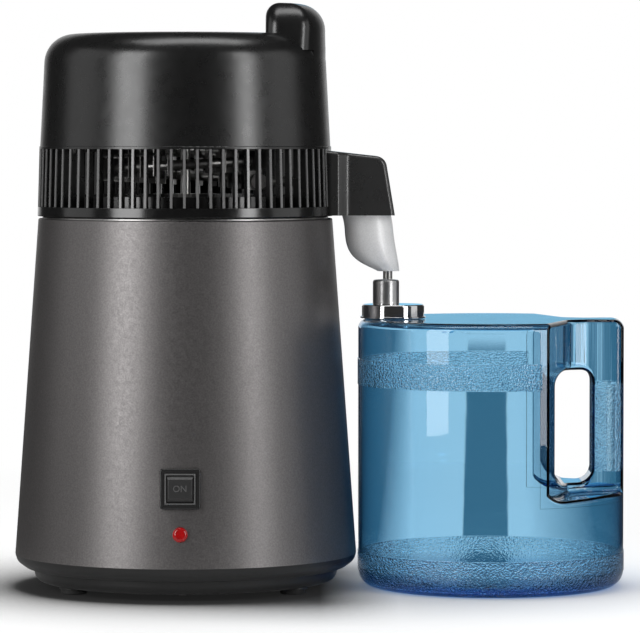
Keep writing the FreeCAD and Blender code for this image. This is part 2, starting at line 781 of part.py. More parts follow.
def oblong_wire(width, height, z):
    w = width / 2
    h = height / 2
    return Part.makePolygon([V(-w, -h, z), V(w, -h, z), V(w, h, z), V(-w, h, z), V(-w, -h, z)])


def switch_housing():
    back = -BEZEL_DEPTH - HOUSING_DEPTH
    block = oblong(BEZEL_SLEEVE, BEZEL_SLEEVE, back, -BEZEL_DEPTH, 1.0)
    pocket = oblong(HOUSING_POCKET, HOUSING_POCKET, back + HOUSING_FLOOR, -BEZEL_DEPTH)
    return on_front(block.cut(pocket), SWITCH_Z)


def button_spring():
    floor = -BEZEL_DEPTH - HOUSING_DEPTH + HOUSING_FLOOR
    low = floor + SPRING_WIRE_R + 0.1
    high = -BUTTON_SHANK - SPRING_WIRE_R - 0.1
    helix = Part.makeHelix((high - low) / SPRING_TURNS, high - low, SPRING_R)
    section = Part.Wire(Part.makeCircle(SPRING_WIRE_R, V(SPRING_R, 0, 0), Y_AXIS))
    coil = Part.Wire(helix.Edges).makePipeShell([section], True, True)
    return on_front(moved(coil, z=low), SWITCH_Z)


def switch_terminals():
    back = -BEZEL_DEPTH - HOUSING_DEPTH
    tab = moved(oblong(TAB_T, TAB_W, back - TAB_L, back), y=-TAB_DROP)
    tabs = [moved(tab, x=side * TAB_SPREAD) for side in (-1, 1)]
    return on_front(Part.makeCompound(tabs), SWITCH_Z)


def indicator_lens():
    lens = turned([
        (0, -LENS_STEM_L, 0),
        (LENS_STEM_R, -LENS_STEM_L, 0),
        (LENS_STEM_R, 0, 0),
        (LENS_R, 0, 0),
        (LENS_R, LENS_H, LENS_ROUND),
        (0, LENS_H, 0),
    ])
    return on_front(lens, LAMP_Z)


def indicator_lamp():
    holder = ring(LAMP_R, LENS_STEM_R, -LENS_STEM_L, -LAMP_SET_BACK)
    body = rod(LAMP_R, -LENS_STEM_L - LAMP_L, -LENS_STEM_L)
    return on_front(holder.fuse(body).removeSplitter(), LAMP_Z)


# Sockets on the back: a flange that follows the round wall, a body through the wall, and a well

def socket_block(flange, body, flange_t, depth, corner):
    plate = oblong(flange[0], flange[1], -SOCKET_SINK, flange_t, corner)
    return plate, oblong(body[0], body[1], -depth, flange_t)


def solid_cone(radius_at, z0, z1, skin=0.0):
    return turned([(0, z0, 0), (radius_at(z0) + skin, z0, 0), (radius_at(z1) + skin, z1, 0), (0, z1, 0)])


def back_socket(flange, body, flange_t, depth, z, radius_at, lean):
    plate, core = socket_block(flange, body, flange_t, depth, 2.0)
    wall = solid_cone(radius_at, z - flange[1], z + flange[1])
    plate = on_back(plate, z, radius_at(z), lean).cut(wall)
    core = on_back(core, z, radius_at(z), lean)
    return plate.fuse(core).removeSplitter()


def power_inlet():
    flange = (INLET_FLANGE_W, INLET_FLANGE_H)
    body = (INLET_BODY_W, INLET_BODY_H)
    block = back_socket(flange, body, INLET_FLANGE_T, INLET_DEPTH, INLET_Z, shell_r, SHELL_LEAN)
    w = INLET_WELL_W / 2
    h = INLET_WELL_H / 2
    low = h - INLET_WELL_BEVEL
    narrow = w - INLET_WELL_BEVEL
    outline = [(-w, -h, 1), (w, -h, 1), (w, low, 1), (narrow, h, 1), (-narrow, h, 1), (-w, low, 1)]
    well = slab_xy(outline, INLET_FLANGE_T - INLET_WELL_DEPTH, INLET_FLANGE_T)
    tools = [on_back(well, INLET_Z, shell_r(INLET_Z), SHELL_LEAN), inlet_screws(), inlet_pins()]
    return block.cut(tools)


def inlet_screws():
    depth = INLET_SCREW_HEAD_R - INLET_SCREW_R
    head = Part.makeCone(INLET_SCREW_R, INLET_SCREW_HEAD_R, depth, V(0, 0, INLET_FLANGE_T - depth), Z_AXIS)
    screw = head.fuse(rod(INLET_SCREW_R, INLET_FLANGE_T - INLET_SCREW_L, INLET_FLANGE_T - depth))
    pair = Part.makeCompound([moved(screw, x=side * INLET_SCREW_X) for side in (-1, 1)])
    return on_back(pair, INLET_Z, shell_r(INLET_Z), SHELL_LEAN)


def inlet_pins():
    """Three flat pins in the well, each with its solder tab behind."""
    floor = INLET_FLANGE_T - INLET_WELL_DEPTH
    pin = oblong(INLET_PIN_W, INLET_PIN_H, -INLET_DEPTH - INLET_TAB_L, floor + INLET_PIN_L)
    pins = [moved(pin, x=side * INLET_PIN_SPREAD, y=-INLET_PIN_OFFSET) for side in (-1, 1)]
    pins.append(moved(pin, y=INLET_PIN_OFFSET))
    return on_back(Part.makeCompound(pins), INLET_Z, shell_r(INLET_Z), SHELL_LEAN)


def fan_outlet_socket():
    flange = (OUTLET_FLANGE_W, OUTLET_FLANGE_H)
    body = (OUTLET_BODY_W, OUTLET_BODY_H)
    block = back_socket(flange, body, OUTLET_FLANGE_T, OUTLET_DEPTH, OUTLET_Z, shell_r, SHELL_LEAN)
    slots = []
    for side in (-1, 1):
        slot = oblong(OUTLET_SLOT_W, OUTLET_SLOT_H, OUTLET_FLANGE_T - OUTLET_SLOT_DEPTH, OUTLET_FLANGE_T)
        slots.append(moved(slot, x=side * OUTLET_SLOT_X))
    return block.cut(on_back(Part.makeCompound(slots), OUTLET_Z, shell_r(OUTLET_Z), SHELL_LEAN))


def fan_lead_inlet():
    flange = (HEAD_INLET_FLANGE_W, HEAD_INLET_FLANGE_H)
    body = (HEAD_INLET_BODY_W, HEAD_INLET_BODY_H)
    z = HEAD_INLET_Z
    block = back_socket(flange, body, HEAD_INLET_FLANGE_T, HEAD_INLET_DEPTH, z, cover_r, COVER_LEAN)
    floor = HEAD_INLET_FLANGE_T - HEAD_INLET_WELL_DEPTH
    well = oblong(HEAD_INLET_WELL_W, HEAD_INLET_WELL_H, floor, HEAD_INLET_FLANGE_T, 3.0)
    block = block.cut(on_back(well, z, cover_r(z), COVER_LEAN))
    return block.cut(fan_lead_pins())


def fan_lead_pins():
    floor = HEAD_INLET_FLANGE_T - HEAD_INLET_WELL_DEPTH
    start = floor - 1.5
    pins = [rod(HEAD_PIN_R, start, floor + HEAD_PIN_L, x=side * HEAD_PIN_X) for side in (-1, 1)]
    return on_back(Part.makeCompound(pins), HEAD_INLET_Z, cover_r(HEAD_INLET_Z), COVER_LEAN)


# Head: vent ring and lid

SEAL_FOOT_Z = SHELL_TOP_Z + TANK_SHEET + BODY_GAP
LID_FOOT_Z = SEAL_FOOT_Z + SEAL_H
LEDGE_Z = LID_FOOT_Z + LID_SHEET


def conical_shell(inner_r, z0, z1):
    return turned([(inner_r, z0, 0), (ring_r(z0), z0, 0), (ring_r(z1), z1, 0), (inner_r, z1, 0)])


def ring_lower_band():
    skirt_r = SEAL_OUTER_R + BODY_GAP
    wall_out = RING_WALL_R + RING_WALL_T
    return turned([
        (skirt_r, RING_FOOT_Z, 0),
        (RING_FOOT_R, RING_FOOT_Z, 0.6),
        (ring_r(RING_BAND_TOP_Z), RING_BAND_TOP_Z, 0),
        (wall_out, RING_BAND_TOP_Z, 0),
        (wall_out, RING_WALL_TOP_Z, 0),
        (RING_WALL_R, RING_WALL_TOP_Z, 0),
        (RING_WALL_R, RING_BAND_TOP_Z, 0),
        (RING_LEDGE_R, RING_BAND_TOP_Z, 0),
        (RING_LEDGE_R, LEDGE_Z, 0),
        (skirt_r, LEDGE_Z, 0),
    ])


def ring_upper_band():
    lip_r = COVER_FOOT_R - COVER_WALL - 0.2
    boss_r = cover_r(RING_TOP_Z) - COVER_WALL - COVER_BOSS_INSET
    inner_r = boss_r - COVER_SCREW_HEAD_R - 3
    return turned([
        (inner_r, RING_SLOT_TOP_Z, 0),
        (ring_r(RING_SLOT_TOP_Z), RING_SLOT_TOP_Z, 0),
        (RING_TOP_R, RING_TOP_Z, 0.4),
        (lip_r, RING_TOP_Z, 0),
        (lip_r, RING_TOP_Z + COVER_LIP_H, 0),
        (lip_r - COVER_LIP_T, RING_TOP_Z + COVER_LIP_H, 0),
        (lip_r - COVER_LIP_T, RING_TOP_Z, 0),
        (inner_r, RING_TOP_Z, 0),
    ])


def vent_ring():
    """Two bands joined by upright fins, with a solid seat where the spout is fixed."""
    bars = conical_shell(FIN_INNER_R, RING_BAND_TOP_Z, RING_SLOT_TOP_Z)
    half = FIN_T / 2
    fin = bars.common(Part.makeBox(FAR, FIN_T, FAR, V(0, -half, 0)))
    seat_box = Part.makeBox(FAR, 2 * SPOUT_ROOT_HALF_Y, FAR, V(0, -SPOUT_ROOT_HALF_Y, 0))
    seat = conical_shell(RING_FOOT_R - SPOUT_SEAT_T, RING_BAND_TOP_Z, RING_SLOT_TOP_Z).common(seat_box)
    seat_half_angle = math.degrees(math.asin(SPOUT_ROOT_HALF_Y / FIN_INNER_R))
    pitch = 360 / FIN_COUNT
    fins = []
    for k in range(FIN_COUNT):
        angle = -90 + FIN_PHASE + pitch * k
        if abs(angle) > seat_half_angle + 1 and abs(angle - 360) > seat_half_angle + 1:
            fins.append(swung(fin, angle))
    whole = ring_lower_band().multiFuse([ring_upper_band(), seat] + fins).removeSplitter()
    tube_hole = bar(COIL_TUBE_R + HOLE_PLAY, V(RING_WALL_R, 0, OUTLET_TUBE_Z), V(TIP_X, 0, OUTLET_TUBE_Z))
    cover_hole = rod(COVER_SCREW_R, RING_SLOT_TOP_Z, RING_TOP_Z, cover_boss_r())
    lid_hole = rod(LID_SCREW_R, LEDGE_Z, LEDGE_Z + LID_SCREW_BITE, LID_SCREW_CIRCLE_R)
    return whole.cut([tube_hole] + at_cover_screws(cover_hole) + at_lid_screws(lid_hole))


def at_lid_screws(shape):
    return around(shape, LID_SCREW_COUNT, LID_SCREW_ANGLE)


def lid_seal():
    return turned([
        (SEAL_INNER_R, SEAL_FOOT_Z, 0.6),
        (SEAL_OUTER_R, SEAL_FOOT_Z, 0.6),
        (SEAL_OUTER_R, LID_FOOT_Z, 0),
        (SEAL_INNER_R, LID_FOOT_Z, 0),
    ])


def lid_dome():
    """A pressed disc that closes the tank: a crowned middle and a flat rim."""
    crown_z = LEDGE_Z + LID_CROWN
    disc = turned([
        (COIL_TUBE_R, crown_z - LID_SHEET, 0),
        (LID_CROWN_R, crown_z - LID_SHEET, 20),
        (LID_FLAT_R, LID_FOOT_Z, 6),
        (LID_RIM_R, LID_FOOT_Z, 0),
        (LID_RIM_R, LEDGE_Z, 0),
        (LID_FLAT_R, LEDGE_Z, 6),
        (LID_CROWN_R, crown_z, 20),
        (COIL_TUBE_R, crown_z, 0),
    ])
    return disc.cut(at_lid_screws(rod(LID_SCREW_R, LID_FOOT_Z, LEDGE_Z, LID_SCREW_CIRCLE_R)))


def lid_skirt():
    """A hoop welded under the lid that centres it in the tank."""
    return ring(LID_SKIRT_R, LID_SKIRT_R - LID_SHEET, LID_SKIRT_FOOT_Z, LID_FOOT_Z)


def lid_screws():
    head = rod(LID_SCREW_HEAD_R, LID_FOOT_Z - LID_SCREW_HEAD_H, LID_FOOT_Z, LID_SCREW_CIRCLE_R)
    screw = head.fuse(rod(LID_SCREW_R, LID_FOOT_Z, LEDGE_Z + LID_SCREW_BITE, LID_SCREW_CIRCLE_R))
    return Part.makeCompound(at_lid_screws(screw))


# Condenser

COIL_TOP_Z = COIL_FOOT_Z + COIL_PITCH * COIL_TURNS


def condenser_coil():
    helix = Part.makeHelix(COIL_PITCH, COIL_PITCH * COIL_TURNS, COIL_R)
    section = Part.Wire(Part.makeCircle(COIL_TUBE_R, V(COIL_R, 0, 0), Y_AXIS))
    tube = Part.Wire(helix.Edges).makePipeShell([section], True, True)
    return moved(tube, z=COIL_FOOT_Z)


def condenser_fins():
    """Square plates threaded on the coil at equal angles."""
    half = COIL_FIN_W / 2
    plate = Part.makeBox(COIL_FIN_W, COIL_FIN_T, COIL_FIN_W, V(COIL_R - half, -COIL_FIN_T / 2, -half))
    bore = Part.makeCylinder(COIL_TUBE_R + COIL_FIN_PLAY, 4, V(COIL_R, -2, 0), Y_AXIS)
    plate = plate.cut(bore)
    pitch = 360 / COIL_FINS_PER_TURN
    fins = []
    for k in range(2, COIL_FINS_PER_TURN * COIL_TURNS - 1):
        rise = COIL_PITCH * k / COIL_FINS_PER_TURN
        fins.append(moved(swung(plate, pitch * k), z=COIL_FOOT_Z + rise))
    return Part.makeCompound(fins)


def steam_riser():
    """The pipe from the middle of the lid up and across to the union on the coil's upper end."""
    foot = V(0, 0, LEDGE_Z + LID_CROWN - LID_SHEET - RISER_BELOW_LID)
    bend = V(0, 0, COIL_TOP_Z)
    union = bar(UNION_R, V(COIL_R, 0, COIL_TOP_Z), V(COIL_R, UNION_L, COIL_TOP_Z))
    across = bar(COIL_TUBE_R, V(0, UNION_L / 2, COIL_TOP_Z), V(COIL_R, UNION_L / 2, COIL_TOP_Z))
    up = bar(COIL_TUBE_R, foot, bend)
    link = bar(COIL_TUBE_R, bend, V(0, UNION_L / 2, COIL_TOP_Z))
    knees = [Part.makeSphere(COIL_TUBE_R, bend), Part.makeSphere(COIL_TUBE_R, V(0, UNION_L / 2, COIL_TOP_Z))]
    return up.multiFuse([link, across, union] + knees).removeSplitter()


def riser_nut():
    top = LEDGE_Z + LID_CROWN
    return hexagon(RISER_NUT_AF, top, top + RISER_NUT_H, COIL_TUBE_R)


def coil_outlet():
    """The pipe from the coil's lower end out through the ring and down into the spout."""
    mid_y = -UNION_L / 2
    union = bar(UNION_R, V(COIL_R, -UNION_L, COIL_FOOT_Z), V(COIL_R, 0, COIL_FOOT_Z))
    start = V(COIL_R, mid_y, COIL_FOOT_Z)
    turn = V(COIL_R + OUTLET_TURN, 0, OUTLET_TUBE_Z)
    knee = V(OUTLET_TUBE_X, 0, OUTLET_TUBE_Z)
    end = V(OUTLET_TUBE_X, 0, OUTLET_TUBE_END_Z)
    runs = [bar(COIL_TUBE_R, start, turn), bar(COIL_TUBE_R, turn, knee), bar(COIL_TUBE_R, knee, end)]
    knees = [Part.makeSphere(COIL_TUBE_R, turn), Part.makeSphere(COIL_TUBE_R, knee)]
    return union.multiFuse(runs + knees).removeSplitter()


# Head cover with its handle

def cover_boss_r():
    return cover_r(RING_TOP_Z) - COVER_WALL - COVER_BOSS_INSET


def bracket_boss_r():
    return cover_r(BRACKET_Z) - COVER_WALL - COVER_BOSS_INSET


def at_cover_screws(shape):
    return around(shape, COVER_SCREW_COUNT, COVER_SCREW_ANGLE)


def at_bracket_arms(shape):
    return around(shape, BRACKET_ARMS, BRACKET_ANGLE)


def dome_corners(skin):
    """The dome's outline from its foot to the top, drawn in by a skin thickness."""
    return [
        (COVER_FOOT_R - skin, RING_TOP_Z, 0),
        (cover_r(COVER_TOP_Z) - skin, COVER_TOP_Z - skin, COVER_SHOULDER - skin),
    ]


def cover_skin():
    well_in = COVER_WELL_R - GUARD_SEAT_W
    return turned(dome_corners(0) + [
        (COVER_WELL_R, COVER_TOP_Z, COVER_WELL_EDGE),
        (COVER_WELL_R, GUARD_SEAT_Z, 0),
        (well_in, GUARD_SEAT_Z, 0),
        (well_in, GUARD_SEAT_Z - COVER_WALL, 0),
        (COVER_WELL_R + COVER_WALL, GUARD_SEAT_Z - COVER_WALL, 0),
        (COVER_WELL_R + COVER_WALL, COVER_TOP_Z - COVER_WALL, 0),
    ] + dome_corners(COVER_WALL)[::-1])


def handle_arch():
    """The handle's outer form: a raised part of the rim with rounded ends."""
    low = GUARD_SEAT_Z - COVER_WALL
    top_outer_z = HANDLE_TOP_Z - HANDLE_DIP
    rim = turned([
        (HANDLE_ROOT_R, low, 0),
        (HANDLE_OUTER_R, low, 0),
        (HANDLE_OUTER_R - 0.6, top_outer_z, HANDLE_OUTER_ROUND),
        (HANDLE_ROOT_R, HANDLE_TOP_Z, 0),
    ])
    side = Part.makeBox(FAR, 2 * FAR, FAR, V(HANDLE_INNER_X, -FAR, low - 1))
    ends = slab_yz([
        (-HANDLE_HALF_Y - 2, low, 0),
        (HANDLE_HALF_Y + 2, low, 0),
        (HANDLE_HALF_Y - 3, HANDLE_TOP_Z, HANDLE_END_ROUND),
        (3 - HANDLE_HALF_Y, HANDLE_TOP_Z, HANDLE_END_ROUND),
    ], 0, FAR)
    arch = swung(rim, 180).common(side).common(ends)
    return arch.makeFillet(HANDLE_EDGE, sharp_edges(arch, lambda b: b.ZMax > low + 1))


def handle_foot():
    """Carries the handle's outer face down over the rounded shoulder to the upright wall."""
    width = HANDLE_HALF_Y - HANDLE_EDGE
    wall = swung(ring(HANDLE_OUTER_R, HANDLE_OUTER_R - COVER_WALL, COVER_SIDE_Z, GUARD_SEAT_Z), 180)
    return wall.common(Part.makeBox(FAR, 2 * width, FAR, V(0, -width, 0)))


def grip_floor():
    """Closes the shoulder under the handle, so that the finger gap has a floor."""
    low = GUARD_SEAT_Z - COVER_WALL
    filler = turned([
        (COVER_WELL_R - GUARD_SEAT_W, low, 0),
        (HANDLE_OUTER_R - 1, low, 0),
        (HANDLE_OUTER_R - 1, COVER_TOP_Z, COVER_SHOULDER - 2),
        (COVER_WELL_R - GUARD_SEAT_W, COVER_TOP_Z, 0),
    ])
    width = GRIP_HALF_Y + COVER_WALL
    return filler.common(Part.makeBox(FAR, 2 * width, COVER_TOP_Z - low - 1, V(0, -width, low)))


def grip_pocket():
    """The finger pocket under the handle, open to the well and closed on the outside."""
    across = slab_yz([
        (-GRIP_HALF_Y, GUARD_SEAT_Z, 3),
        (GRIP_HALF_Y, GUARD_SEAT_Z, 3),
        (GRIP_HALF_Y, GRIP_TOP_Z, GRIP_ROUND),
        (-GRIP_HALF_Y, GRIP_TOP_Z, GRIP_ROUND),
    ], 0, FAR)
    outward = turned([
        (0, GUARD_SEAT_Z, 0),
        (GRIP_OUTER_R, GUARD_SEAT_Z, 3),
        (GRIP_OUTER_R, GRIP_TOP_Z, GRIP_OUTER_ROUND),
        (0, GRIP_TOP_Z, 0),
    ])
    return across.common(swung(outward, 180))


def cover_bosses():
    """Posts for the screws that hold the cover on the ring and the motor's bracket in the cover."""
    low = rod(COVER_BOSS_R, RING_TOP_Z, RING_TOP_Z + COVER_BOSS_H, cover_boss_r())
    high = rod(COVER_BOSS_R, BRACKET_Z, BRACKET_Z + COVER_BOSS_H, bracket_boss_r())
    inside = solid_cone(cover_r, RING_TOP_Z, COVER_SIDE_Z, -COVER_WALL / 2)
    return [boss.common(inside) for boss in at_cover_screws(low) + at_bracket_arms(high)]


def whole_cover():
    """The cover as moulded: upright wall, rounded rim with its well, handle and screw bosses."""
    skin = cover_skin().multiFuse([handle_arch(), handle_foot(), grip_floor()]).removeSplitter()
    # the well stays open under the handle
    whole = skin.cut([grip_pocket(), rod(COVER_WELL_R, GUARD_SEAT_Z, HANDLE_TOP_Z - HANDLE_LIP_H)])
    whole = whole.multiFuse(cover_bosses()).removeSplitter()
    low_hole = rod(COVER_SCREW_R, RING_TOP_Z, RING_SLOT_TOP_Z + COVER_SCREW_L, cover_boss_r())
    high_hole = rod(COVER_SCREW_R, BRACKET_Z, BRACKET_Z - BRACKET_T + COVER_SCREW_L, bracket_boss_r())
    lip_out = COVER_FOOT_R - COVER_WALL
    lip = ring(lip_out, lip_out - COVER_LIP_T - 0.6, RING_TOP_Z, RING_TOP_Z + COVER_LIP_H + BODY_GAP)
    width = HEAD_INLET_BODY_W + 2 * HOLE_PLAY
    height = HEAD_INLET_BODY_H + 2 * HOLE_PLAY
    body = oblong(width, height, -SOCKET_SINK, SOCKET_SINK)
    window = on_back(body, HEAD_INLET_Z, cover_r(HEAD_INLET_Z), COVER_LEAN)
    return whole.cut(at_cover_screws(low_hole) + at_bracket_arms(high_hole) + [lip, window])


def above_wall(start_angle, sweep):
    """What lies above the cover's upright wall within a sector round the axis."""
    sector = Part.makeCylinder(FAR, FAR, V(0, 0, COVER_SIDE_Z), Z_AXIS, sweep)
    return swung(sector, start_angle)


def head_cover():
    """The upright wall with its bosses, up to the start of the rounded rim."""
    return whole_cover().cut(above_wall(0, 360))


def cover_rim():
    """The rounded rim with its well, outside the handle's sector."""
    return whole_cover().common(above_wall(HANDLE_SECTOR / 2, 360 - HANDLE_SECTOR))


def cover_handle():
    """The sector of the rim that rises into the handle, with its finger pocket."""
    return whole_cover().common(above_wall(-HANDLE_SECTOR / 2, HANDLE_SECTOR))


def cover_screws():
    r = cover_boss_r()
    head = rod(COVER_SCREW_HEAD_R, RING_SLOT_TOP_Z - COVER_SCREW_HEAD_H, RING_SLOT_TOP_Z, r)
    screw = head.fuse(rod(COVER_SCREW_R, RING_SLOT_TOP_Z, RING_SLOT_TOP_Z + COVER_SCREW_L, r))
    return Part.makeCompound(at_cover_screws(screw))


# Fan

def motor_bracket():
    low = BRACKET_Z - BRACKET_T
    reach = bracket_boss_r()
    inside = solid_cone(cover_r, low - 5, BRACKET_Z + 5, -COVER_WALL - BODY_GAP)
    end = rod(BRACKET_ARM_W / 2, low, BRACKET_Z, reach).common(inside)
    arm = Part.makeBox(reach, BRACKET_ARM_W, BRACKET_T, V(0, -BRACKET_ARM_W / 2, low)).fuse(end)
    plate = rod(BRACKET_HUB_R, low, BRACKET_Z).multiFuse(at_bracket_arms(arm)).removeSplitter()
    return plate.cut(at_bracket_arms(rod(COVER_SCREW_R, low, BRACKET_Z, reach)))


def bracket_screws():
    low = BRACKET_Z - BRACKET_T
    r = bracket_boss_r()
    head = rod(COVER_SCREW_HEAD_R, low - COVER_SCREW_HEAD_H, low, r)
    screw = head.fuse(rod(COVER_SCREW_R, low, low + COVER_SCREW_L, r))
    return Part.makeCompound(at_bracket_arms(screw))


MOTOR_TOP_Z = BRACKET_Z + MOTOR_H


def fan_motor():
    body = turned([
        (0, BRACKET_Z, 0),
        (MOTOR_R, BRACKET_Z, 0),
        (MOTOR_R, MOTOR_TOP_Z, 2),
        (MOTOR_BOSS_R, MOTOR_TOP_Z, 0),
        (MOTOR_BOSS_R, MOTOR_TOP_Z + MOTOR_BOSS_H, 0),
        (0, MOTOR_TOP_Z + MOTOR_BOSS_H, 0),
    ])
    top = MOTOR_TOP_Z + MOTOR_BOSS_H
    return body.cut(rod(SHAFT_R + RUNNING_FIT, top - SHAFT_BITE - BODY_GAP, top))


def blade_section(radius, chord, pitch):
    """A slanted rectangle square to the blade's radius."""
    along = V(0, math.cos(math.radians(pitch)), math.sin(math.radians(pitch))) * (chord / 2)
    across = V(0, -math.sin(math.radians(pitch)), math.cos(math.radians(pitch))) * (BLADE_T / 2)
    middle = V(radius, 0, 0)
    low = middle - across
    high = middle + across
    return Part.makePolygon([low - along, low + along, high + along, high - along, low - along])


def fan_rotor():
    hub_foot = MOTOR_TOP_Z + MOTOR_BOSS_H + HUB_GAP
    hub = turned([
        (0, hub_foot, 0),
        (HUB_R, hub_foot, 0),
        (HUB_R, hub_foot + HUB_H, HUB_EDGE),
        (0, hub_foot + HUB_H, 0),
    ])
    root = blade_section(HUB_R - 2, BLADE_ROOT_CHORD, BLADE_ROOT_PITCH)
    tip = blade_section(BLADE_TIP_R, BLADE_TIP_CHORD, BLADE_TIP_PITCH)
    blade = moved(Part.makeLoft([root, tip], True, True), z=hub_foot + HUB_H / 2)
    shaft = rod(SHAFT_R, MOTOR_TOP_Z + MOTOR_BOSS_H - SHAFT_BITE, hub_foot)
    return hub.multiFuse(around(blade, BLADE_COUNT) + [shaft]).removeSplitter()


def fan_guard():
    top = GUARD_SEAT_Z + GUARD_T
    rim_r = COVER_WELL_R - HOLE_PLAY
    pieces = [ring(rim_r, rim_r - GUARD_RIM_W - 1, GUARD_SEAT_Z, top)]
    for k in range(GUARD_RINGS):
        r = GUARD_HUB_R + GUARD_RING_STEP * (k + 1)
        pieces.append(ring(r + GUARD_BAR / 2, r - GUARD_BAR / 2, GUARD_SEAT_Z, top))
    spoke = Part.makeBox(rim_r - 2, GUARD_BAR, GUARD_T, V(0, -GUARD_BAR / 2, GUARD_SEAT_Z))
    hub = rod(GUARD_HUB_R, GUARD_SEAT_Z, top)
    return hub.multiFuse(pieces + around(spoke, GUARD_SPOKES)).removeSplitter()


# Spout

def spout_form(inset):
    """The hood's solid form, drawn in by a wall thickness."""
    tall = slab_xz([
        (SPOUT_ROOT_X, SPOUT_ROOT_TOP_Z - inset, 0),
        (SPOUT_NOSE_X - inset, SPOUT_NOSE_Z - inset, max(SPOUT_NOSE_ROUND - inset, 1)),
        (SPOUT_END_X - inset, SPOUT_FOOT_Z + inset, 0),
        (SPOUT_ROOT_X, SPOUT_FOOT_Z + inset, 0),
    ], -FAR, FAR)
    half = SPOUT_HALF_Y - inset
    root = SPOUT_ROOT_HALF_Y - inset
    wide = slab_xy([
        (SPOUT_ROOT_X, -root, 0),
        (SPOUT_NECK_X - SPOUT_NECK_RUN, -root, SPOUT_ROOT_ROUND),
        (SPOUT_NECK_X, -half, SPOUT_NECK_ROUND),
        (SPOUT_END_X + 5, -half, 0),
        (SPOUT_END_X + 5, half, 0),
        (SPOUT_NECK_X, half, SPOUT_NECK_ROUND),
        (SPOUT_NECK_X - SPOUT_NECK_RUN, root, SPOUT_ROOT_ROUND),
        (SPOUT_ROOT_X, root, 0),
    ], 0, FAR)
    return tall.common(wide)


def spout_arm():
    core = solid_cone(ring_r, SPOUT_FOOT_Z - 5, SPOUT_ROOT_TOP_Z + 5)
    hood = spout_form(0)
    outside = sharp_edges(hood, lambda b: b.XMax > RING_FOOT_R and b.ZMax > SPOUT_FOOT_Z + 1)
    hood = hood.makeFillet(SPOUT_EDGE, outside).cut(core)
    hollow = spout_form(SPOUT_WALL)
    basket_hole = rod(BASKET_R + HOLE_PLAY, SPOUT_FOOT_Z - 1, SPOUT_FOOT_Z + SPOUT_WALL + 1, OUTLET_TUBE_X)
    return hood.cut([hollow, basket_hole])


def oval(z, middle, half_x, half_y, inset=0.0):
    long_axis = max(half_x, half_y) - inset
    short_axis = min(half_x, half_y) - inset
    edge = Part.Ellipse(V(middle, 0, z), long_axis, short_axis).toShape()
    return Part.Wire(edge)


def nozzle_shroud():
    """A tapering oval funnel that leans out towards the tip."""
    floor = SHROUD_FOOT_Z + SHROUD_FLOOR_T
    lift = SHROUD_FLOOR_T / (len(SHROUD_OVALS) - 1)
    outer = [oval(*section) for section in SHROUD_OVALS]
    inner = []
    for k, (z, x, wide, deep) in enumerate(SHROUD_OVALS):
        inner.append(oval(z + lift * k, x, wide, deep, SHROUD_WALL))
    funnel = Part.makeLoft(outer, True).cut(Part.makeLoft(inner, True))
    return funnel.cut(rod(TIP_R, SHROUD_FOOT_Z - 1, floor + 1, TIP_X))


def drip_tip():
    floor = SHROUD_FOOT_Z + SHROUD_FLOOR_T
    tube = rod(TIP_R, COLLAR_TOP_Z + DRIP_GAP, floor, TIP_X)
    flange = rod(TIP_FLANGE_R, floor, floor + TIP_FLANGE_T, TIP_X)
    bore = rod(TIP_BORE_R, COLLAR_TOP_Z, floor + TIP_FLANGE_T, TIP_X)
    return tube.fuse(flange).cut(bore)


def carbon_basket():
    rim_z = SPOUT_FOOT_Z + SPOUT_WALL
    rim_top = rim_z + 1.0
    cup = turned([
        (0, BASKET_FOOT_Z, 0),
        (BASKET_R, BASKET_FOOT_Z, 1),
        (BASKET_R, rim_z, 0),
        (BASKET_R + BASKET_RIM, rim_z, 0),
        (BASKET_R + BASKET_RIM, rim_top, 0),
        (BASKET_R - BASKET_WALL, rim_top, 0),
        (BASKET_R - BASKET_WALL, BASKET_FOOT_Z + BASKET_WALL, 0),
        (0, BASKET_FOOT_Z + BASKET_WALL, 0),
    ])
    drain = rod(DRAIN_R, BASKET_FOOT_Z, BASKET_FOOT_Z + BASKET_WALL)
    drains = [drain] + around(moved(drain, x=DRAIN_CIRCLE_R), DRAIN_COUNT)
    return moved(cup.cut(drains), x=OUTLET_TUBE_X)


def carbon_pod():
    floor = BASKET_FOOT_Z + BASKET_WALL
    radius = BASKET_R - BASKET_WALL - POD_PLAY
    pod = turned([(0, floor, 0), (radius, floor, 2), (radius, floor + POD_H, 2), (0, floor + POD_H, 0)])
    return moved(pod, x=OUTLET_TUBE_X)


# Jug

def jug_cylinder(inset):
    """The jug's round form about its own axis, with its seam turned away from the handle."""
    floor = JUG_PUSH_UP + inset if inset else 0
    form = turned([
        (0, floor, 0),
        (JUG_R - inset, floor, JUG_HEEL - inset),
        (JUG_R - inset, JUG_TOP_Z - inset, JUG_SHOULDER - inset),
        (0, JUG_TOP_Z - inset, 0),
    ])
    return swung(form, 180)


def jug_push_up():
    """What the pushed-up bottom leaves out."""
    return turned([
        (0, -1, 0),
        (JUG_REST_R, -1, 0),
        (JUG_REST_R - 1.5, JUG_PUSH_UP, 0),
        (0, JUG_PUSH_UP, 0),
    ])


def jug_bands():
    """Raised grip bands: one above the heel, one below the shoulder that stops short of the recesses."""
    low = ring(JUG_R + BAND_PROUD, JUG_R - 1, LOW_BAND_FOOT_Z, LOW_BAND_TOP_Z)
    high = ring(JUG_R + BAND_PROUD, JUG_R - 1, HIGH_BAND_FOOT_Z, HIGH_BAND_TOP_Z)
    stop = Part.makeBox(FAR, 2 * FAR, FAR, V(RECESS_X - JUG_EDGE - 0.5, -FAR, LOW_BAND_TOP_Z + 1))
    return [low, high.cut(stop)]


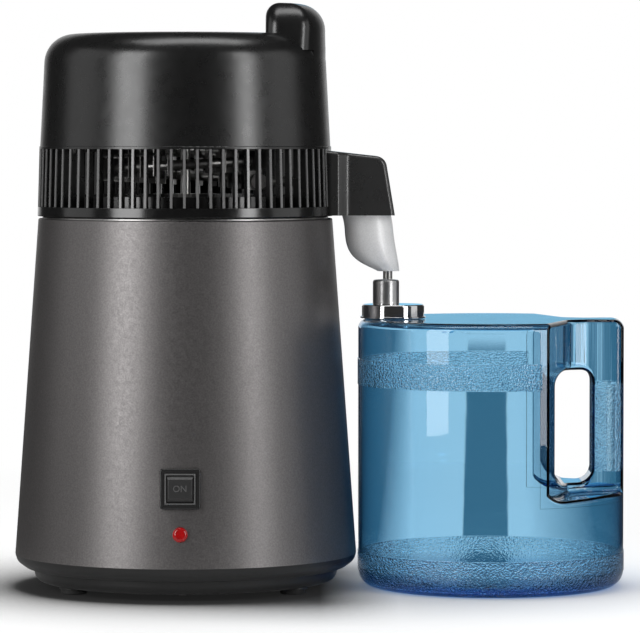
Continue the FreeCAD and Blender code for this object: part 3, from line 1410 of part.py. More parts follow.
def grip_flutes():
    """A shallow upright flute in the middle of the grip's front and back."""
    x = (GRIP_FRONT_X + GRIP_BACK_X) / 2 - 3
    y = GRIP_FRONT_Y + FLUTE_R - FLUTE_DEPTH
    return [rod(FLUTE_R, FLUTE_FOOT_Z, FLUTE_TOP_Z, x, side * y) for side in (-1, 1)]


def handle_plan(inset):
    """The plan of what stays between the two side recesses: a neck that narrows, then the grip."""
    front = [
        (RECESS_X - 12, -JUG_R, 0),
        (RECESS_X + 0.5, -JUG_R, 0),
        (ARM_NECK_X, -ARM_NECK_Y, ARM_NECK_ROUND),
        (GRIP_WAIST_X, -GRIP_WAIST_Y, GRIP_WAIST_ROUND),
        (GRIP_FRONT_X, -GRIP_FRONT_Y, GRIP_FRONT_ROUND),
        (GRIP_BACK_X, -GRIP_FRONT_Y, GRIP_BACK_ROUND),
    ]
    back = [(x, -y, r) for x, y, r in reversed(front)]
    flat = wire(front + back, lambda p: V(p.x, p.y, 0))
    if inset:
        flat = flat.makeOffset2D(-inset)
    return Part.Face(flat).extrude(V(0, 0, FAR))


def jug_form(inset):
    """The jug's closed form, drawn in by a wall thickness: cylinder, side recesses and finger gap."""
    recess = slab_xz([
        (RECESS_X - inset, FAR, 0),
        (RECESS_X - inset, RECESS_FLOOR_Z - inset, RECESS_ROUND + inset),
        (JUG_R + 20, RECESS_END_Z - inset, 0),
        (JUG_R + 20, FAR, 0),
    ], -FAR, FAR)
    gap = slab_xz([
        (GAP_INNER_X - inset, GAP_FOOT_Z - inset, GAP_FOOT_ROUND + inset),
        (GAP_OUTER_X + inset, GAP_FOOT_Z - inset, GAP_FOOT_ROUND + inset),
        (GAP_OUTER_X + inset, GAP_TOP_Z + inset, GAP_TOP_ROUND + inset),
        (GAP_INNER_X - inset, GAP_TOP_Z + inset, GAP_TOP_ROUND + inset),
    ], -FAR, FAR)
    sides = recess.cut(handle_plan(inset))
    form = jug_cylinder(inset).cut([sides, gap])
    if inset:
        return form
    form = form.makeFillet(JUG_EDGE, sharp_edges(form, lambda b: b.ZMax > JUG_HEEL + 1))
    return form.multiFuse(jug_bands()).cut([jug_push_up()] + grip_flutes())


def jug_neck_top():
    return CAP_TOP_Z - CAP_TOP_T - GASKET_T - BODY_GAP


def jug_shell():
    """The whole hollow jug with its neck."""
    neck_x = CAP_X - JUG_X
    neck = rod(NECK_R, JUG_TOP_Z - JUG_SHOULDER, jug_neck_top(), neck_x)
    bore = rod(NECK_R - NECK_WALL, JUG_TOP_Z - JUG_SHOULDER - 1, jug_neck_top() + 1, neck_x)
    outside = jug_form(0).fuse(neck).removeSplitter()
    return outside.cut([jug_form(JUG_WALL), bore])


def handle_side():
    """The corner of the jug that its handle moulding takes: above and outside the join."""
    return Part.makeBox(FAR, 2 * FAR, FAR, V(JOIN_X, -FAR, JOIN_Z))


def jug_body():
    return moved(jug_shell().cut(handle_side()), x=JUG_X)


def jug_handle():
    """The handle moulding: the walls of both recesses, the finger gap and the grip."""
    return moved(jug_shell().common(handle_side()), x=JUG_X)


# Cap

def jug_cap():
    skirt_foot = JUG_TOP_Z + CAP_SKIRT_GAP
    inner_r = NECK_R + CAP_PLAY
    inner_top = CAP_TOP_Z - CAP_TOP_T
    cap = turned([
        (0, inner_top, 0),
        (inner_r, inner_top, 0),
        (inner_r, skirt_foot, 0),
        (CAP_FLANGE_R, skirt_foot, 0.3),
        (CAP_FLANGE_R, skirt_foot + CAP_FLANGE_T, 0.3),
        (CAP_R, skirt_foot + CAP_FLANGE_T, 0),
        (CAP_R, CAP_TOP_Z, CAP_EDGE),
        (0, CAP_TOP_Z, 0),
    ])
    return moved(cap, x=CAP_X).cut(rod(COLLAR_SPIGOT_R, inner_top - 1, CAP_TOP_Z + 1, COLLAR_X))


def cap_collar():
    collar = turned([
        (COLLAR_BORE_R, COLLAR_FOOT_Z, 0),
        (COLLAR_SPIGOT_R, COLLAR_FOOT_Z, 0),
        (COLLAR_SPIGOT_R, CAP_TOP_Z, 0),
        (COLLAR_R, CAP_TOP_Z, 0),
        (COLLAR_R, COLLAR_TOP_Z, COLLAR_EDGE),
        (COLLAR_BORE_R, COLLAR_TOP_Z, 0.6),
    ])
    return moved(collar, x=COLLAR_X)


def cap_gasket():
    top = CAP_TOP_Z - CAP_TOP_T
    return ring(NECK_R, GASKET_INNER_R, top - GASKET_T, top, CAP_X)


PIECES = {
    "outer_shell": outer_shell,
    "base_trim_ring": base_trim_ring,
    "base_pan": base_pan,
    "feet": feet,
    "foot_screws": foot_screws,
    "base_studs": base_studs,
    "base_nuts": base_nuts,
    "boiler_tank": boiler_tank,
    "heater_plate": heater_plate,
    "heating_element": heating_element,
    "thermal_cutouts": thermal_cutouts,
    "cutout_clamp": cutout_clamp,
    "clamp_screw": clamp_screw,
    "switch_bezel": switch_bezel,
    "switch_housing": switch_housing,
    "switch_terminals": switch_terminals,
    "on_button": on_button,
    "button_spring": button_spring,
    "indicator_lens": indicator_lens,
    "indicator_lamp": indicator_lamp,
    "power_inlet": power_inlet,
    "inlet_pins": inlet_pins,
    "inlet_screws": inlet_screws,
    "fan_outlet_socket": fan_outlet_socket,
    "vent_ring": vent_ring,
    "lid_seal": lid_seal,
    "lid_dome": lid_dome,
    "lid_skirt": lid_skirt,
    "lid_screws": lid_screws,
    "steam_riser": steam_riser,
    "riser_nut": riser_nut,
    "condenser_coil": condenser_coil,
    "condenser_fins": condenser_fins,
    "coil_outlet": coil_outlet,
    "head_cover": head_cover,
    "cover_rim": cover_rim,
    "cover_handle": cover_handle,
    "cover_screws": cover_screws,
    "fan_lead_inlet": fan_lead_inlet,
    "fan_lead_pins": fan_lead_pins,
    "motor_bracket": motor_bracket,
    "bracket_screws": bracket_screws,
    "fan_motor": fan_motor,
    "fan_rotor": fan_rotor,
    "fan_guard": fan_guard,
    "spout_arm": spout_arm,
    "nozzle_shroud": nozzle_shroud,
    "drip_tip": drip_tip,
    "carbon_basket": carbon_basket,
    "carbon_pod": carbon_pod,
    "jug_body": jug_body,
    "jug_handle": jug_handle,
    "jug_cap": jug_cap,
    "cap_collar": cap_collar,
    "cap_gasket": cap_gasket,
}

FOOTPRINT_MIDDLE_X = (JUG_X + JUG_R + BAND_PROUD - SHELL_FOOT_R) / 2


def main():
    os.makedirs("parts", exist_ok=True)
    for name, make in PIECES.items():
        shape = moved(make(), x=-FOOTPRINT_MIDDLE_X)
        print(name, "solids", len(shape.Solids), "valid", shape.isValid(), "volume", round(shape.Volume))
        shape.exportStep(f"parts/{name}.step")


main()
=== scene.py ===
import json
import math

import bpy
from mathutils import Matrix, Vector


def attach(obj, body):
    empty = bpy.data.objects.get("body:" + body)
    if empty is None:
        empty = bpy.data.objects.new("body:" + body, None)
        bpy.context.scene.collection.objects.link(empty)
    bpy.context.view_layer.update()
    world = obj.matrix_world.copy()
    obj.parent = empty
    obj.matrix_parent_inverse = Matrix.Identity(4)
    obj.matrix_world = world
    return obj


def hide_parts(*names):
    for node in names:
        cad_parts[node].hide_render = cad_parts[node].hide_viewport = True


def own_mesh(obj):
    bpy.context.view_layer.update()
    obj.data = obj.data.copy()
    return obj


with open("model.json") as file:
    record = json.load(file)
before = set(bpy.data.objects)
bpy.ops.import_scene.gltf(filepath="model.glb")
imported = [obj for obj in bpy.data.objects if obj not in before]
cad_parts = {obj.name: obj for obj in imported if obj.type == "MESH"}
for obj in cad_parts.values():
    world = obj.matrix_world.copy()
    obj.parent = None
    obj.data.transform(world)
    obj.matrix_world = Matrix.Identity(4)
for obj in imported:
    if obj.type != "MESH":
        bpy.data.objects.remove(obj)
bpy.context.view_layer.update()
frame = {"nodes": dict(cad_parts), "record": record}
NODES = frame["nodes"]

# The boiler's and the jug's upright axes. Lengths are in metres throughout.
BOILER_X = -0.08715
JUG_X = 0.11145

# The boiler's conical shell, and the button that leans with it.
SHELL_FOOT_R = 0.111
SHELL_FOOT_Z = 0.0219
SHELL_TOP_R = 0.0954
SHELL_TOP_Z = 0.2393
SHELL_LEAN = math.atan2(SHELL_FOOT_R - SHELL_TOP_R, SHELL_TOP_Z - SHELL_FOOT_Z)
SWITCH_Z = 0.072
BEZEL_RIM = (0.0087, 0.0097)
BUTTON_OUT = Vector((0, -math.cos(SHELL_LEAN), math.sin(SHELL_LEAN)))
BUTTON_HEIGHT = 0.0046

# The vent ring's slightly conical wall, how far its outer skin reaches in and out from there, its slots
# and its plain lower band, and where the spout beside it starts.
RING_FOOT_R = 0.0959
RING_FOOT_Z = 0.2408
RING_TAPER = 0.02876
RING_SKIN = (-0.0007, 0.0002)
SLOTS_Z = (0.2472, 0.2842)
RING_BAND_Z = (0.2405, 0.2468)
SPOUT_X = 0.006

# The jug's pebbled bands, the side recess with the grip beyond it, the top, and the collar of its cap.
LOW_BAND_Z = (0.0035, 0.0234)
HIGH_BAND_Z = (0.1318, 0.1483)
GRIP_Z = (0.076, 0.132)
RECESS_X = JUG_X + 0.0275
GRIP_X = JUG_X + 0.0655
JUG_TOP_Z = 0.1725
COLLAR_Z = 0.1835

# The camera's place in front of the object, and how far it looks down, in degrees.
CAMERA_X = 0.00025
CAMERA_DISTANCE = 2.6
CAMERA_HEIGHT = 0.29
CAMERA_TILT = 2.527

# Painted shade: dark strips on the floor which only rays through the jug find. Their left and right edges as
# the camera
# sees them: the distance sideways over the distance from the camera. Between the two numbers the left strip
# fades out and the right strip fades in.
LEFT_DARK_STRIP = (0.0105, 0.0225)
MIDDLE_DARK_STRIP = (0.0355, 0.0475)
RIGHT_DARK_STRIP = (0.0525, 0.0735)
DARK_STRIP_BLUE = (0.13, 0.25, 0.31)

# What mirrored rays find: the backdrop's blue card, and the blue inside the jug.
MIRRORED_CARD = (0.3, 0.68, 0.95)
INNER_BLUE = (0.2, 0.45, 0.7)
WHITE = (1.0, 1.0, 1.0)

LAMP_TARGET = Vector((-0.03, 0, 0.2))
FLOOR_HALF = 9
FLOOR_Z = -0.0002


# Materials. Detail is placed by each piece's own coordinates.

class Nodes:
    """Shorthand for the nodes of a material or of the world."""

    def __init__(self, owner, coordinates):
        owner.use_nodes = True
        self.tree = owner.node_tree
        self.tree.nodes.clear()
        self.place = self.add("TexCoord").outputs[coordinates]

    def add(self, kind):
        return self.tree.nodes.new("ShaderNode" + kind)

    def link(self, source, target):
        self.tree.links.new(source, target)

    def give(self, value, socket):
        """Sets a socket to a number or a colour, or links it to another node's output."""
        if isinstance(value, (int, float)):
            socket.default_value = value
        elif isinstance(value, tuple):
            socket.default_value = (*value, 1)
        else:
            self.link(value, socket)

    def noise(self, size, detail=2.0, stretch=(1, 1, 1)):
        """Soft noise whose blobs are about size metres across."""
        node = self.add("TexNoise")
        node.inputs["Scale"].default_value = 0.5 / size
        node.inputs["Detail"].default_value = detail
        self.link(self.scaled(stretch), node.inputs["Vector"])
        return node.outputs["Fac"]

    def cells(self, size):
        """Rounded pebbles about size metres across: 0 in their middle, 1 far from it."""
        node = self.add("TexVoronoi")
        node.feature = "SMOOTH_F1"
        node.inputs["Smoothness"].default_value = 0.4
        node.inputs["Scale"].default_value = 1 / size
        self.link(self.place, node.inputs["Vector"])
        return node.outputs["Distance"]

    def scaled(self, stretch):
        if stretch == (1, 1, 1):
            return self.place
        node = self.add("Mapping")
        node.inputs["Scale"].default_value = stretch
        self.link(self.place, node.inputs["Vector"])
        return node.outputs["Vector"]

    def spread(self, source, low, high, start=0.3, end=0.7):
        """The source's values from start to end, spread over low to high."""
        node = self.add("MapRange")
        node.clamp = True
        values = {"From Min": start, "From Max": end, "To Min": low, "To Max": high}
        for key, value in values.items():
            node.inputs[key].default_value = value
        self.link(source, node.inputs["Value"])
        return node.outputs["Result"]

    def math(self, operation, a, b):
        node = self.add("Math")
        node.operation = operation
        self.give(a, node.inputs[0])
        self.give(b, node.inputs[1])
        return node.outputs[0]

    def axis(self, letter):
        node = self.add("SeparateXYZ")
        self.link(self.place, node.inputs[0])
        return node.outputs[letter]

    def radius(self, axis_x):
        """Distance from the upright axis at axis_x."""
        flat = self.add("Mapping")
        flat.inputs["Location"].default_value = (-axis_x, 0, 0)
        flat.inputs["Scale"].default_value = (1, 1, 0)
        self.link(self.place, flat.inputs["Vector"])
        length = self.add("VectorMath")
        length.operation = "LENGTH"
        self.link(flat.outputs["Vector"], length.inputs[0])
        return length.outputs["Value"]

    def within(self, source, low, high, soft):
        """1 where the source is between low and high, with soft edges."""
        up = self.spread(source, 0, 1, low - soft, low + soft)
        down = self.spread(source, 1, 0, high - soft, high + soft)
        return self.product(up, down)

    def maximum(self, first, *others):
        for other in others:
            first = self.math("MAXIMUM", first, other)
        return first

    def product(self, first, *others):
        for other in others:
            first = self.math("MULTIPLY", first, other)
        return first

    def mix(self, kind, amount, low, high):
        """Low at amount 0, high at amount 1, both of that kind of data."""
        node = self.add("Mix")
        node.data_type = kind
        self.link(amount, node.inputs["Factor"])
        self.give(low, node.inputs["A"])
        self.give(high, node.inputs["B"])
        return node.outputs["Result"]

    def colors(self, amount, low, high):
        return self.mix("RGBA", amount, low, high)

    def levels(self, amount, low, high):
        return self.mix("FLOAT", amount, low, high)

    def blend(self, amount, low, high):
        """The shader low at amount 0, high at amount 1."""
        node = self.add("MixShader")
        for source, socket in zip((amount, low, high), node.inputs):
            self.link(source, socket)
        return node.outputs[0]

    def glow(self, level, color=WHITE):
        node = self.add("Emission")
        node.inputs["Color"].default_value = (*color, 1)
        node.inputs["Strength"].default_value = level
        return node.outputs[0]


class Finish(Nodes):
    """A Principled material, and the nodes that give its colour, roughness and surface their detail."""

    def __init__(self, name, color, rough, **inputs):
        self.mat = bpy.data.materials.new(name)
        super().__init__(self.mat, "Object")
        self.shader = self.add("BsdfPrincipled")
        self.out = self.add("OutputMaterial")
        self.link(self.shader.outputs["BSDF"], self.out.inputs["Surface"])
        self.shader.inputs["Base Color"].default_value = (*color, 1)
        self.shader.inputs["Roughness"].default_value = rough
        for key, value in inputs.items():
            self.shader.inputs[key.replace("_", " ")].default_value = value

    def tint(self, source, low, high):
        """The base colour runs from low to high with the source."""
        self.link(self.colors(source, low, high), self.shader.inputs["Base Color"])

    def roughen(self, source):
        """The roughness is the source's value."""
        self.link(source, self.shader.inputs["Roughness"])

    def bump(self, *layers):
        """Raised detail from (height, depth in metres) layers."""
        normal = None
        for height, depth in layers:
            node = self.add("Bump")
            node.inputs["Strength"].default_value = 1
            node.inputs["Distance"].default_value = depth
            self.link(height, node.inputs["Height"])
            if normal:
                self.link(normal, node.inputs["Normal"])
            normal = node.outputs["Normal"]
        self.link(normal, self.shader.inputs["Normal"])


def grey(value):
    return (value, value, value)


def color_range(color, low, high):
    """The two ends of a colour's own variation."""
    return tuple(c * low for c in color), tuple(min(c * high, 1) for c in color)


def moulded_black(name, value, rough, grain=0.0006, depth=0.000006):
    """Spark-eroded satin plastic: fine grain, slightly uneven gloss."""
    f = Finish(name, grey(value), rough, IOR=1.5)
    cloud = f.noise(0.03, 3)
    f.tint(f.spread(cloud, 0, 1), grey(value * 0.85), grey(value * 1.2))
    f.roughen(f.spread(f.noise(0.004, 4), rough - 0.03, rough + 0.03))
    f.bump((f.noise(grain, 3), depth))
    return f.mat


def head_plastic():
    """The head's satin black, with the vent ring's polished lower band, and a painted highlight that makes
    its fin fronts lighter.
    """
    f = Finish("head_black", grey(0.004), 0.28, IOR=1.75)
    height = f.axis("Z")
    narrowing = f.product(f.math("SUBTRACT", height, RING_FOOT_Z), RING_TAPER)
    ring_r = f.math("SUBTRACT", RING_FOOT_R, narrowing)
    skin = f.within(f.math("SUBTRACT", f.radius(BOILER_X), ring_r), *RING_SKIN, 0.0001)
    fins = f.product(skin, f.within(height, *SLOTS_Z, 0.0002))
    band = f.product(skin, f.within(height, *RING_BAND_Z, 0.0002))
    spout = f.spread(f.axis("X"), 0, 0.018, SPOUT_X, SPOUT_X + 0.002)
    # painted highlight: the fin fronts' colour is raised to stand for the light they catch; the spout is a
    # little lighter in tone
    painted_fin_highlight_and_spout = f.math("ADD", f.product(fins, 0.12), spout)
    cloud = f.spread(f.noise(0.03, 3), 0, 0.003)
    f.tint(f.math("ADD", cloud, painted_fin_highlight_and_spout), grey(0.003), grey(1.0))
    fine = f.spread(f.noise(0.004, 4), 0.26, 0.31)
    f.roughen(f.math("SUBTRACT", fine, f.product(band, 0.12)))
    f.bump((f.noise(0.0012, 2), 0.000003))
    return f.mat


def bezel_plastic():
    """Glossy black, with a painted highlight that makes the raised rim round the button greyer."""
    f = Finish("bezel_black", grey(0.01), 0.24, IOR=1.5)
    across = f.math("ABSOLUTE", f.math("SUBTRACT", f.axis("X"), BOILER_X), 0)
    along = f.math("ABSOLUTE", f.math("SUBTRACT", f.axis("Z"), SWITCH_Z), 0)
    painted_rim_highlight = f.within(f.maximum(across, along), *BEZEL_RIM, 0.0001)
    cloud = f.spread(f.noise(0.03, 3), 0, 0.1)
    # painted highlight: the raised rim's colour is made greyer
    f.tint(f.math("ADD", cloud, f.product(painted_rim_highlight, 0.9)), grey(0.008), grey(0.1))
    f.roughen(f.spread(f.noise(0.004, 4), 0.21, 0.27))
    f.bump((f.noise(0.0006, 3), 0.000006))
    return f.mat


def metallic_paint():
    """Titanium-grey paint with aluminium flakes under a thin clear coat."""
    f = Finish("shell_paint", (0.2, 0.19, 0.19), 0.42, Metallic=0.88, Coat_Weight=0.1, Coat_Roughness=0.3)
    flakes = f.noise(0.0005, 2)
    f.tint(f.spread(flakes, 0, 1), (0.17, 0.161, 0.161), (0.235, 0.224, 0.221))
    f.roughen(f.spread(f.noise(0.0012, 3), 0.38, 0.46))
    f.bump((flakes, 0.000004), (f.noise(0.006, 2), 0.000003))
    return f.mat


def steel(name, value, rough, lines=(1, 1, 1), warm=1.0):
    """Bare metal with a fine grain, drawn out along one way where lines says so."""
    color = (value, value * 0.99, value * 0.97 * warm)
    f = Finish(name, color, rough, Metallic=1.0)
    grain = f.noise(0.0005, 4, lines)
    f.tint(f.spread(grain, 0, 1), *color_range(color, 0.88, 1.06))
    f.roughen(f.spread(grain, rough - 0.05, rough + 0.07))
    f.bump((grain, 0.000004))
    return f.mat


def chrome():
    """Bright plating with faint polishing haze on the cap, and a satin collar above it."""
    f = Finish("cap_chrome", grey(0.86), 0.07, Metallic=1.0)
    collar = f.spread(f.axis("Z"), 0, 1, COLLAR_Z - 0.0001, COLLAR_Z + 0.0001)
    clear = f.spread(f.noise(0.008, 3), 1, 0.9)
    f.tint(f.math("SUBTRACT", clear, f.product(collar, 0.3)), grey(0.1), grey(0.9))
    haze = f.spread(f.noise(0.002, 5), 0.045, 0.11)
    f.roughen(f.math("ADD", haze, f.product(collar, 0.25)))
    f.bump((f.noise(0.01, 2), 0.000015))
    return f.mat


def rubber(name, color, rough=0.75):
    """Matt rubber or silicone with a dusty grain."""
    f = Finish(name, color, rough, IOR=1.45)
    f.tint(f.spread(f.noise(0.002, 4), 0, 1), *color_range(color, 0.8, 1.15))
    f.roughen(f.spread(f.noise(0.001, 4), rough - 0.08, rough + 0.08))
    f.bump((f.noise(0.0005, 3), 0.00003))
    return f.mat


def plain_plastic(name, color, rough):
    """Moulded plastic in one colour, with a soft grain."""
    f = Finish(name, color, rough, IOR=1.49)
    f.tint(f.spread(f.noise(0.006, 3), 0, 1), *color_range(color, 0.88, 1.08))
    f.roughen(f.spread(f.noise(0.002, 4), rough - 0.04, rough + 0.05))
    f.bump((f.noise(0.0008, 3), 0.000008))
    return f.mat


def silver_plastic():
    """Painted satin silver with very fine flakes."""
    f = Finish("shroud_silver", grey(0.7), 0.42, Metallic=0.25, Coat_Weight=0.2, Coat_Roughness=0.3)
    flakes = f.noise(0.0004, 3)
    f.tint(f.spread(flakes, 0, 1), grey(0.76), grey(0.88))
    f.roughen(f.spread(f.noise(0.002, 3), 0.38, 0.48))
    f.bump((flakes, 0.000005))
    return f.mat


def let_light_through(f, color):
    """Rays from the lamps pass straight through a clear material, tinted, so that what it covers is lit."""
    clear = f.add("BsdfTransparent")
    clear.inputs["Color"].default_value = (*color, 1)
    shadow = f.add("LightPath").outputs["Is Shadow Ray"]
    f.link(f.blend(shadow, f.shader.outputs["BSDF"], clear.outputs["BSDF"]), f.out.inputs["Surface"])


def jug_plastic():
    """Clear blue plastic: pebbled bands round the jug and on the grip, and a faintly frosted top."""
    f = Finish("jug_plastic", (0.93, 0.98, 0.995), 0.02, Transmission_Weight=1.0, IOR=1.5)
    height = f.axis("Z")
    x = f.axis("X")
    body_side = f.spread(x, 1, 0, RECESS_X, RECESS_X + 0.0015)
    grip_side = f.spread(x, 0, 1, GRIP_X, GRIP_X + 0.002)
    low = f.within(height, *LOW_BAND_Z, 0.0003)
    high = f.product(f.within(height, *HIGH_BAND_Z, 0.0003), body_side)
    grip = f.product(f.within(height, *GRIP_Z, 0.0006), grip_side)
    bands = f.maximum(low, high, grip)
    top = f.spread(height, 0, 1, JUG_TOP_Z, JUG_TOP_Z + 0.001)
    f.bump(
        (f.noise(0.02, 2), 0.00008),
        (f.product(f.cells(0.0012), bands), 0.0004),
    )
    frosted = f.math("ADD", f.product(bands, 0.09), f.product(top, 0.1))
    f.roughen(f.math("ADD", frosted, f.spread(f.noise(0.01, 3), 0.01, 0.03)))
    f.tint(f.spread(f.noise(0.03, 2), 0, 1), (0.92, 0.975, 0.99), (0.94, 0.985, 1.0))
    inside = f.add("VolumeAbsorption")
    inside.inputs["Color"].default_value = (0.02, 0.6, 0.88, 1)
    inside.inputs["Density"].default_value = 262
    f.link(inside.outputs["Volume"], f.out.inputs["Volume"])
    let_light_through(f, (0.72, 0.84, 0.9))
    return f.mat


def red_lens():
    """Clear red plastic, pebbled so that it glints."""
    f = Finish("lens_red", (0.5, 0.006, 0.008), 0.12, Transmission_Weight=0.35, IOR=1.49, Coat_Weight=0.5)
    f.tint(f.spread(f.noise(0.003, 2), 0, 1), (0.35, 0.003, 0.004), (0.6, 0.008, 0.01))
    f.roughen(f.spread(f.noise(0.001, 3), 0.08, 0.16))
    f.bump((f.cells(0.0016), 0.00008))
    return f.mat


def pouch():
    """Non-woven cloth round the charcoal."""
    f = Finish("carbon_pouch", grey(0.2), 0.9, Sheen_Weight=0.3)
    f.tint(f.spread(f.noise(0.0006, 5), 0, 1), grey(0.1), grey(0.3))
    f.roughen(f.spread(f.noise(0.001, 3), 0.82, 0.95))
    f.bump((f.cells(0.0014), 0.0002), (f.noise(0.0004, 4), 0.0001))
    return f.mat


def dress():
    """Every CAD node gets the material of its slot in the record."""
    looks = {
        "shell_paint": metallic_paint(),
        "head_black": head_plastic(),
        "base_black": moulded_black("base_black", 0.012, 0.42),
        "foot_rubber": rubber("foot_rubber", grey(0.02)),
        "zinc_steel": steel("zinc_steel", 0.55, 0.35),
        # painted shade: the lid's steel is far darker than bare steel, so that the inside of the head looks
        # dark through the vents
        "lid_steel": steel("lid_steel", 0.12, 0.5),
        "stainless": steel("stainless", 0.5, 0.32, (1, 1, 0.15)),
        "plate_aluminium": steel("plate_aluminium", 0.6, 0.5),
        # painted shade: the condenser fins' aluminium is far darker than bare aluminium, for the dark inside
        # of the head
        "fin_aluminium": steel("fin_aluminium", 0.22, 0.35),
        "element_steel": steel("element_steel", 0.35, 0.4),
        "cutout_body": plain_plastic("cutout_body", (0.09, 0.06, 0.04), 0.45),
        "bezel_black": bezel_plastic(),
        "button_black": moulded_black("button_black", 0.022, 0.36, 0.0005, 0.00001),
        "switch_body": moulded_black("switch_body", 0.04, 0.5),
        "socket_black": moulded_black("socket_black", 0.014, 0.3),
        "contact_brass": steel("contact_brass", 0.62, 0.25, warm=0.8),
        "lens_red": red_lens(),
        "lamp_body": plain_plastic("lamp_body", (0.7, 0.69, 0.64), 0.5),
        "seal_silicone": rubber("seal_silicone", grey(0.05), 0.6),
        "motor_metal": steel("motor_metal", 0.12, 0.4),
        "fan_plastic": moulded_black("fan_plastic", 0.02, 0.42),
        "guard_black": moulded_black("guard_black", 0.015, 0.38),
        "shroud_silver": silver_plastic(),
        "carbon_pouch": pouch(),
        "jug_plastic": jug_plastic(),
        "cap_chrome": chrome(),
    }
    for part in frame["record"]["subparts"]:
        mesh = NODES[part["node"]].data
        mesh.materials.clear()
        mesh.materials.append(looks[part["material_slot"]])


# Pieces made here: a copy of the button's spring, and the word on the push button

def placed(name, data):
    """A new object in the scene."""
    obj = bpy.data.objects.new(name, data)
    bpy.context.scene.collection.objects.link(obj)
    return obj


def giving_spring():
    """The button's spring as a piece with a mesh of its own, held by the boiler in place of the CAD spring.
    """
    spring = placed("return_spring", NODES["button_spring"].data.copy())
    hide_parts("button_spring")
    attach(spring, "boiler")
    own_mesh(spring)


def button_word():
    """The generic word "ON" in low relief on the button's face."""
    curve = bpy.data.curves.new("on_lettering", "FONT")
    curve.body = "ON"
    curve.size = 0.0056
    curve.extrude = 0.00025
    curve.bevel_depth = 0.00006
    curve.align_x = "CENTER"
    curve.align_y = "CENTER"
    curve.materials.append(moulded_black("lettering_grey", 0.075, 0.45))
    word = placed("on_lettering", curve)
    wall_r = SHELL_FOOT_R - math.tan(SHELL_LEAN) * (SWITCH_Z - SHELL_FOOT_Z)
    face = Vector((BOILER_X, -wall_r, SWITCH_Z)) + BUTTON_OUT * BUTTON_HEIGHT
    word.matrix_world = Matrix.Translation(face) @ Matrix.Rotation(math.pi / 2 - SHELL_LEAN, 4, "X")
    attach(word, "button")


# Stage: floor, studio world, lamps, camera

def softbox(name, azimuth, distance, height, size, radiance):
    """A rectangular lamp seen from the object at that azimuth, 0 in front and 90 on the right."""
    width, tall = size
    lamp = bpy.data.lights.new(name, "AREA")
    lamp.shape = "RECTANGLE"
    lamp.size = width
    lamp.size_y = tall
    lamp.energy = radiance * math.pi * width * tall
    obj = placed(name, lamp)
    a = math.radians(azimuth)
    spot = Vector((distance * math.sin(a), -distance * math.cos(a), height))
    obj.location = spot
    obj.rotation_euler = (LAMP_TARGET - spot).to_track_quat("-Z", "Y").to_euler()
    obj.visible_camera = False
    obj.visible_transmission = False
    return obj


def studio_world():
    """White to the camera and through glass; a dim room with a white backdrop behind for reflections."""
    world = bpy.data.worlds.new("studio")
    bpy.context.scene.world = world
    n = Nodes(world, "Generated")
    light = n.add("Background")
    n.link(light.outputs[0], n.add("OutputWorld").inputs["Surface"])
    path = n.add("LightPath")
    passed = path.outputs["Is Transmission Ray"]
    mirrored = n.math("GREATER_THAN", path.outputs["Glossy Depth"], 0.5)
    through = n.product(passed, n.math("SUBTRACT", 1, mirrored))
    # what mirrors see: the backdrop, a pale blue card behind the jug's top, and dim blue inside the jug
    backdrop = n.spread(n.axis("Y"), 0.03, 0.9, 0.86, 0.96)
    across = n.within(n.axis("X"), 0.002, 0.088, 0.002)
    card = n.product(across, n.within(n.axis("Z"), -0.02, 0.3, 0.02), n.spread(n.axis("Y"), 0, 1, 0.9, 0.92))
    room = n.maximum(backdrop, n.product(passed, 0.15))
    deep = n.product(passed, n.math("LESS_THAN", backdrop, 0.2))
    tone = n.colors(deep, n.colors(card, WHITE, MIRRORED_CARD), INNER_BLUE)
    n.link(n.colors(mirrored, WHITE, tone), light.inputs["Color"])
    # how bright the world is: 0.45 as a light, the room in mirrors, and 1 to the camera and through the jug
    ambient = n.levels(mirrored, 0.45, room)
    direct = n.maximum(path.outputs["Is Camera Ray"], through)
    n.link(n.levels(direct, ambient, 1.0), light.inputs["Strength"])


def painted_dark_strips(f):
    """Where the painted dark strips lie on the floor, behind the jug and beside it."""
    away = f.math("ADD", f.axis("Y"), CAMERA_DISTANCE)
    across = f.math("DIVIDE", f.axis("X"), away)
    # the left painted strip leans, because the jug's wall bends the far rays more
    lean = f.product(f.math("SUBTRACT", 1, f.math("DIVIDE", CAMERA_DISTANCE - 0.1, away)), 0.01)
    left = f.spread(f.math("ADD", across, lean), 1, 0, *LEFT_DARK_STRIP)
    middle = f.product(f.within(across, *MIDDLE_DARK_STRIP, 0.0002), f.spread(away, 1, 0, 5.4, 5.9))
    right = f.spread(across, 0, 1, *RIGHT_DARK_STRIP)
    return f.maximum(left, middle, right)


def contact_shade(f):
    """How dark the floor's soft shadow is where the object stands, fainter at the clear jug."""
    near = f.add("AmbientOcclusion")
    near.samples = 16
    near.inputs["Distance"].default_value = 0.2
    under_jug = f.spread(f.axis("X"), 1, 0.35, 0, 0.05)
    return f.product(f.spread(near.outputs["AO"], 0.95, 0, 0.55, 0.92), under_jug)


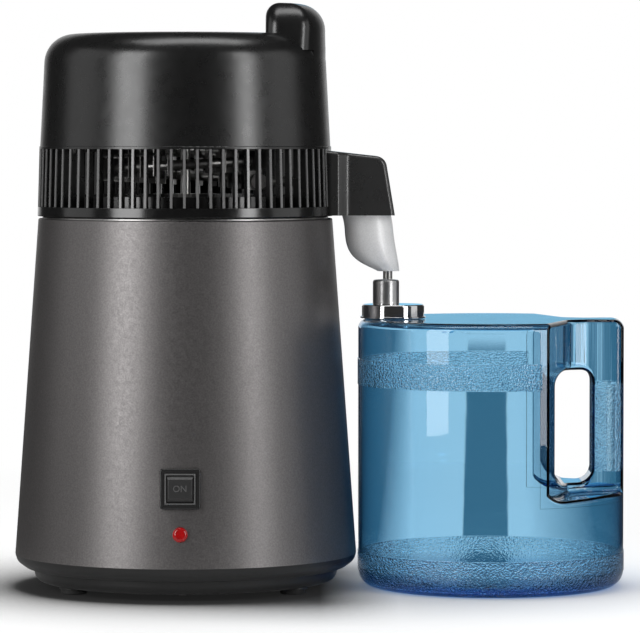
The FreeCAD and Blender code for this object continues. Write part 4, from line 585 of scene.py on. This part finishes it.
def floor_material():
    """Lit near the object and white far from it, with painted dark strips for what the jug lets through."""
    f = Finish("floor", grey(0.78), 0.6, IOR=1.3)
    f.shader.inputs["Specular IOR Level"].default_value = 0.15
    f.bump((f.noise(0.003, 3), 0.00002))
    lit = f.shader.outputs["BSDF"]
    distance = f.radius(0)
    path = f.add("LightPath")
    passed = path.outputs["Is Transmission Ray"]
    bounced = f.math("GREATER_THAN", path.outputs["Glossy Depth"], 0.5)
    through = f.product(passed, f.math("SUBTRACT", 1, bounced))
    # what the camera sees, also through the jug
    seen = f.add("AddShader")
    f.link(lit, seen.inputs[0])
    f.link(f.glow(0.24), seen.inputs[1])
    seen = f.blend(f.spread(distance, 0, 1, 0.35, 1.0), seen.outputs[0], f.glow(1.0))
    # painted shade: dark blue strips, found only by rays through the jug
    seen = f.blend(f.product(painted_dark_strips(f), through), seen, f.glow(1.0, DARK_STRIP_BLUE))
    seen = f.blend(contact_shade(f), seen, f.glow(0))
    # what mirrored rays find away from the object: a dark room, or dim blue inside the jug
    mirrored = f.blend(passed, f.glow(0.03), f.glow(0.15, INNER_BLUE))
    far = f.product(f.spread(distance, 0, 1, 0.16, 0.4), bounced)
    direct = f.maximum(path.outputs["Is Camera Ray"], through)
    f.link(f.blend(direct, f.blend(far, lit, mirrored), seen), f.out.inputs["Surface"])
    return f.mat


def floor():
    """A pale floor that keeps the object's shadow and fades into the white background."""
    mesh = bpy.data.meshes.new("floor")
    corners = [(x * FLOOR_HALF, y * FLOOR_HALF, FLOOR_Z) for x, y in ((-1, -1), (1, -1), (1, 1), (-1, 1))]
    mesh.from_pydata(corners, [], [(0, 1, 2, 3)])
    mesh.materials.append(floor_material())
    placed("floor", mesh)


def vent_painted_shade():
    """A black sheet of painted shade behind the vent ring, seen only from inside the ring, so that the far
    slots look dark.
    """
    steps = 96
    gap = 0.0008
    verts = []
    for z in SLOTS_Z:
        r = RING_FOOT_R - gap - (z - RING_FOOT_Z) * RING_TAPER
        for k in range(steps):
            a = 2 * math.pi * k / steps
            verts.append((BOILER_X + r * math.cos(a), r * math.sin(a), z))
    faces = [(k, (k + 1) % steps, steps + (k + 1) % steps, steps + k) for k in range(steps)]
    mesh = bpy.data.meshes.new("vent_painted_shade")
    mesh.from_pydata(verts, [], faces)
    painted_shade_sheet = placed("vent_painted_shade", mesh)
    # painted shade: black to rays that meet the sheet from inside the ring, clear from outside
    f = Finish("vent_painted_shade", grey(0.004), 0.8)
    inner = f.add("NewGeometry").outputs["Backfacing"]
    clear = f.add("BsdfTransparent").outputs["BSDF"]
    f.link(f.blend(inner, clear, f.shader.outputs["BSDF"]), f.out.inputs["Surface"])
    mesh.materials.append(f.mat)
    for rays in ("diffuse", "glossy", "transmission", "volume_scatter", "shadow"):
        setattr(painted_shade_sheet, "visible_" + rays, False)
    painted_shade_sheet.parent = NODES["vent_ring"]


def lamps():
    # name, azimuth, distance, height, (width, height of its own), radiance
    softbox("left_key", -45, 1.3, 0.5, (0.52, 1.2), 4.3)
    softbox("left_fill", -88, 1.4, 0.6, (0.8, 1.1), 0.5)
    softbox("right_key", 48, 1.3, 0.5, (0.3, 1.2), 5.2)
    softbox("right_fill", 85, 1.4, 0.6, (0.8, 1.1), 0.6)
    softbox("overhead", 0, 0.15, 1.5, (1.2, 0.5), 3.0)
    back = softbox("top_back", 180, 0.7, 1.3, (1.4, 0.7), 2.0)
    back.visible_glossy = False


def camera():
    data = bpy.data.cameras.new("photo_camera")
    data.lens = 225
    data.sensor_width = 36
    data.clip_end = 50
    cam = placed("photo_camera", data)
    cam.location = (CAMERA_X, -CAMERA_DISTANCE, CAMERA_HEIGHT)
    cam.rotation_euler = (math.radians(90 - CAMERA_TILT), 0, 0)
    bpy.context.scene.camera = cam


def settings():
    scene = bpy.context.scene
    scene.view_settings.view_transform = "Standard"
    scene.cycles.max_bounces = 16
    scene.cycles.transmission_bounces = 14
    scene.cycles.transparent_max_bounces = 24
    scene.cycles.sample_clamp_indirect = 4
    scene.cycles.use_denoising = True


dress()
button_word()
giving_spring()
studio_world()
floor()
vent_painted_shade()
lamps()
camera()
settings()
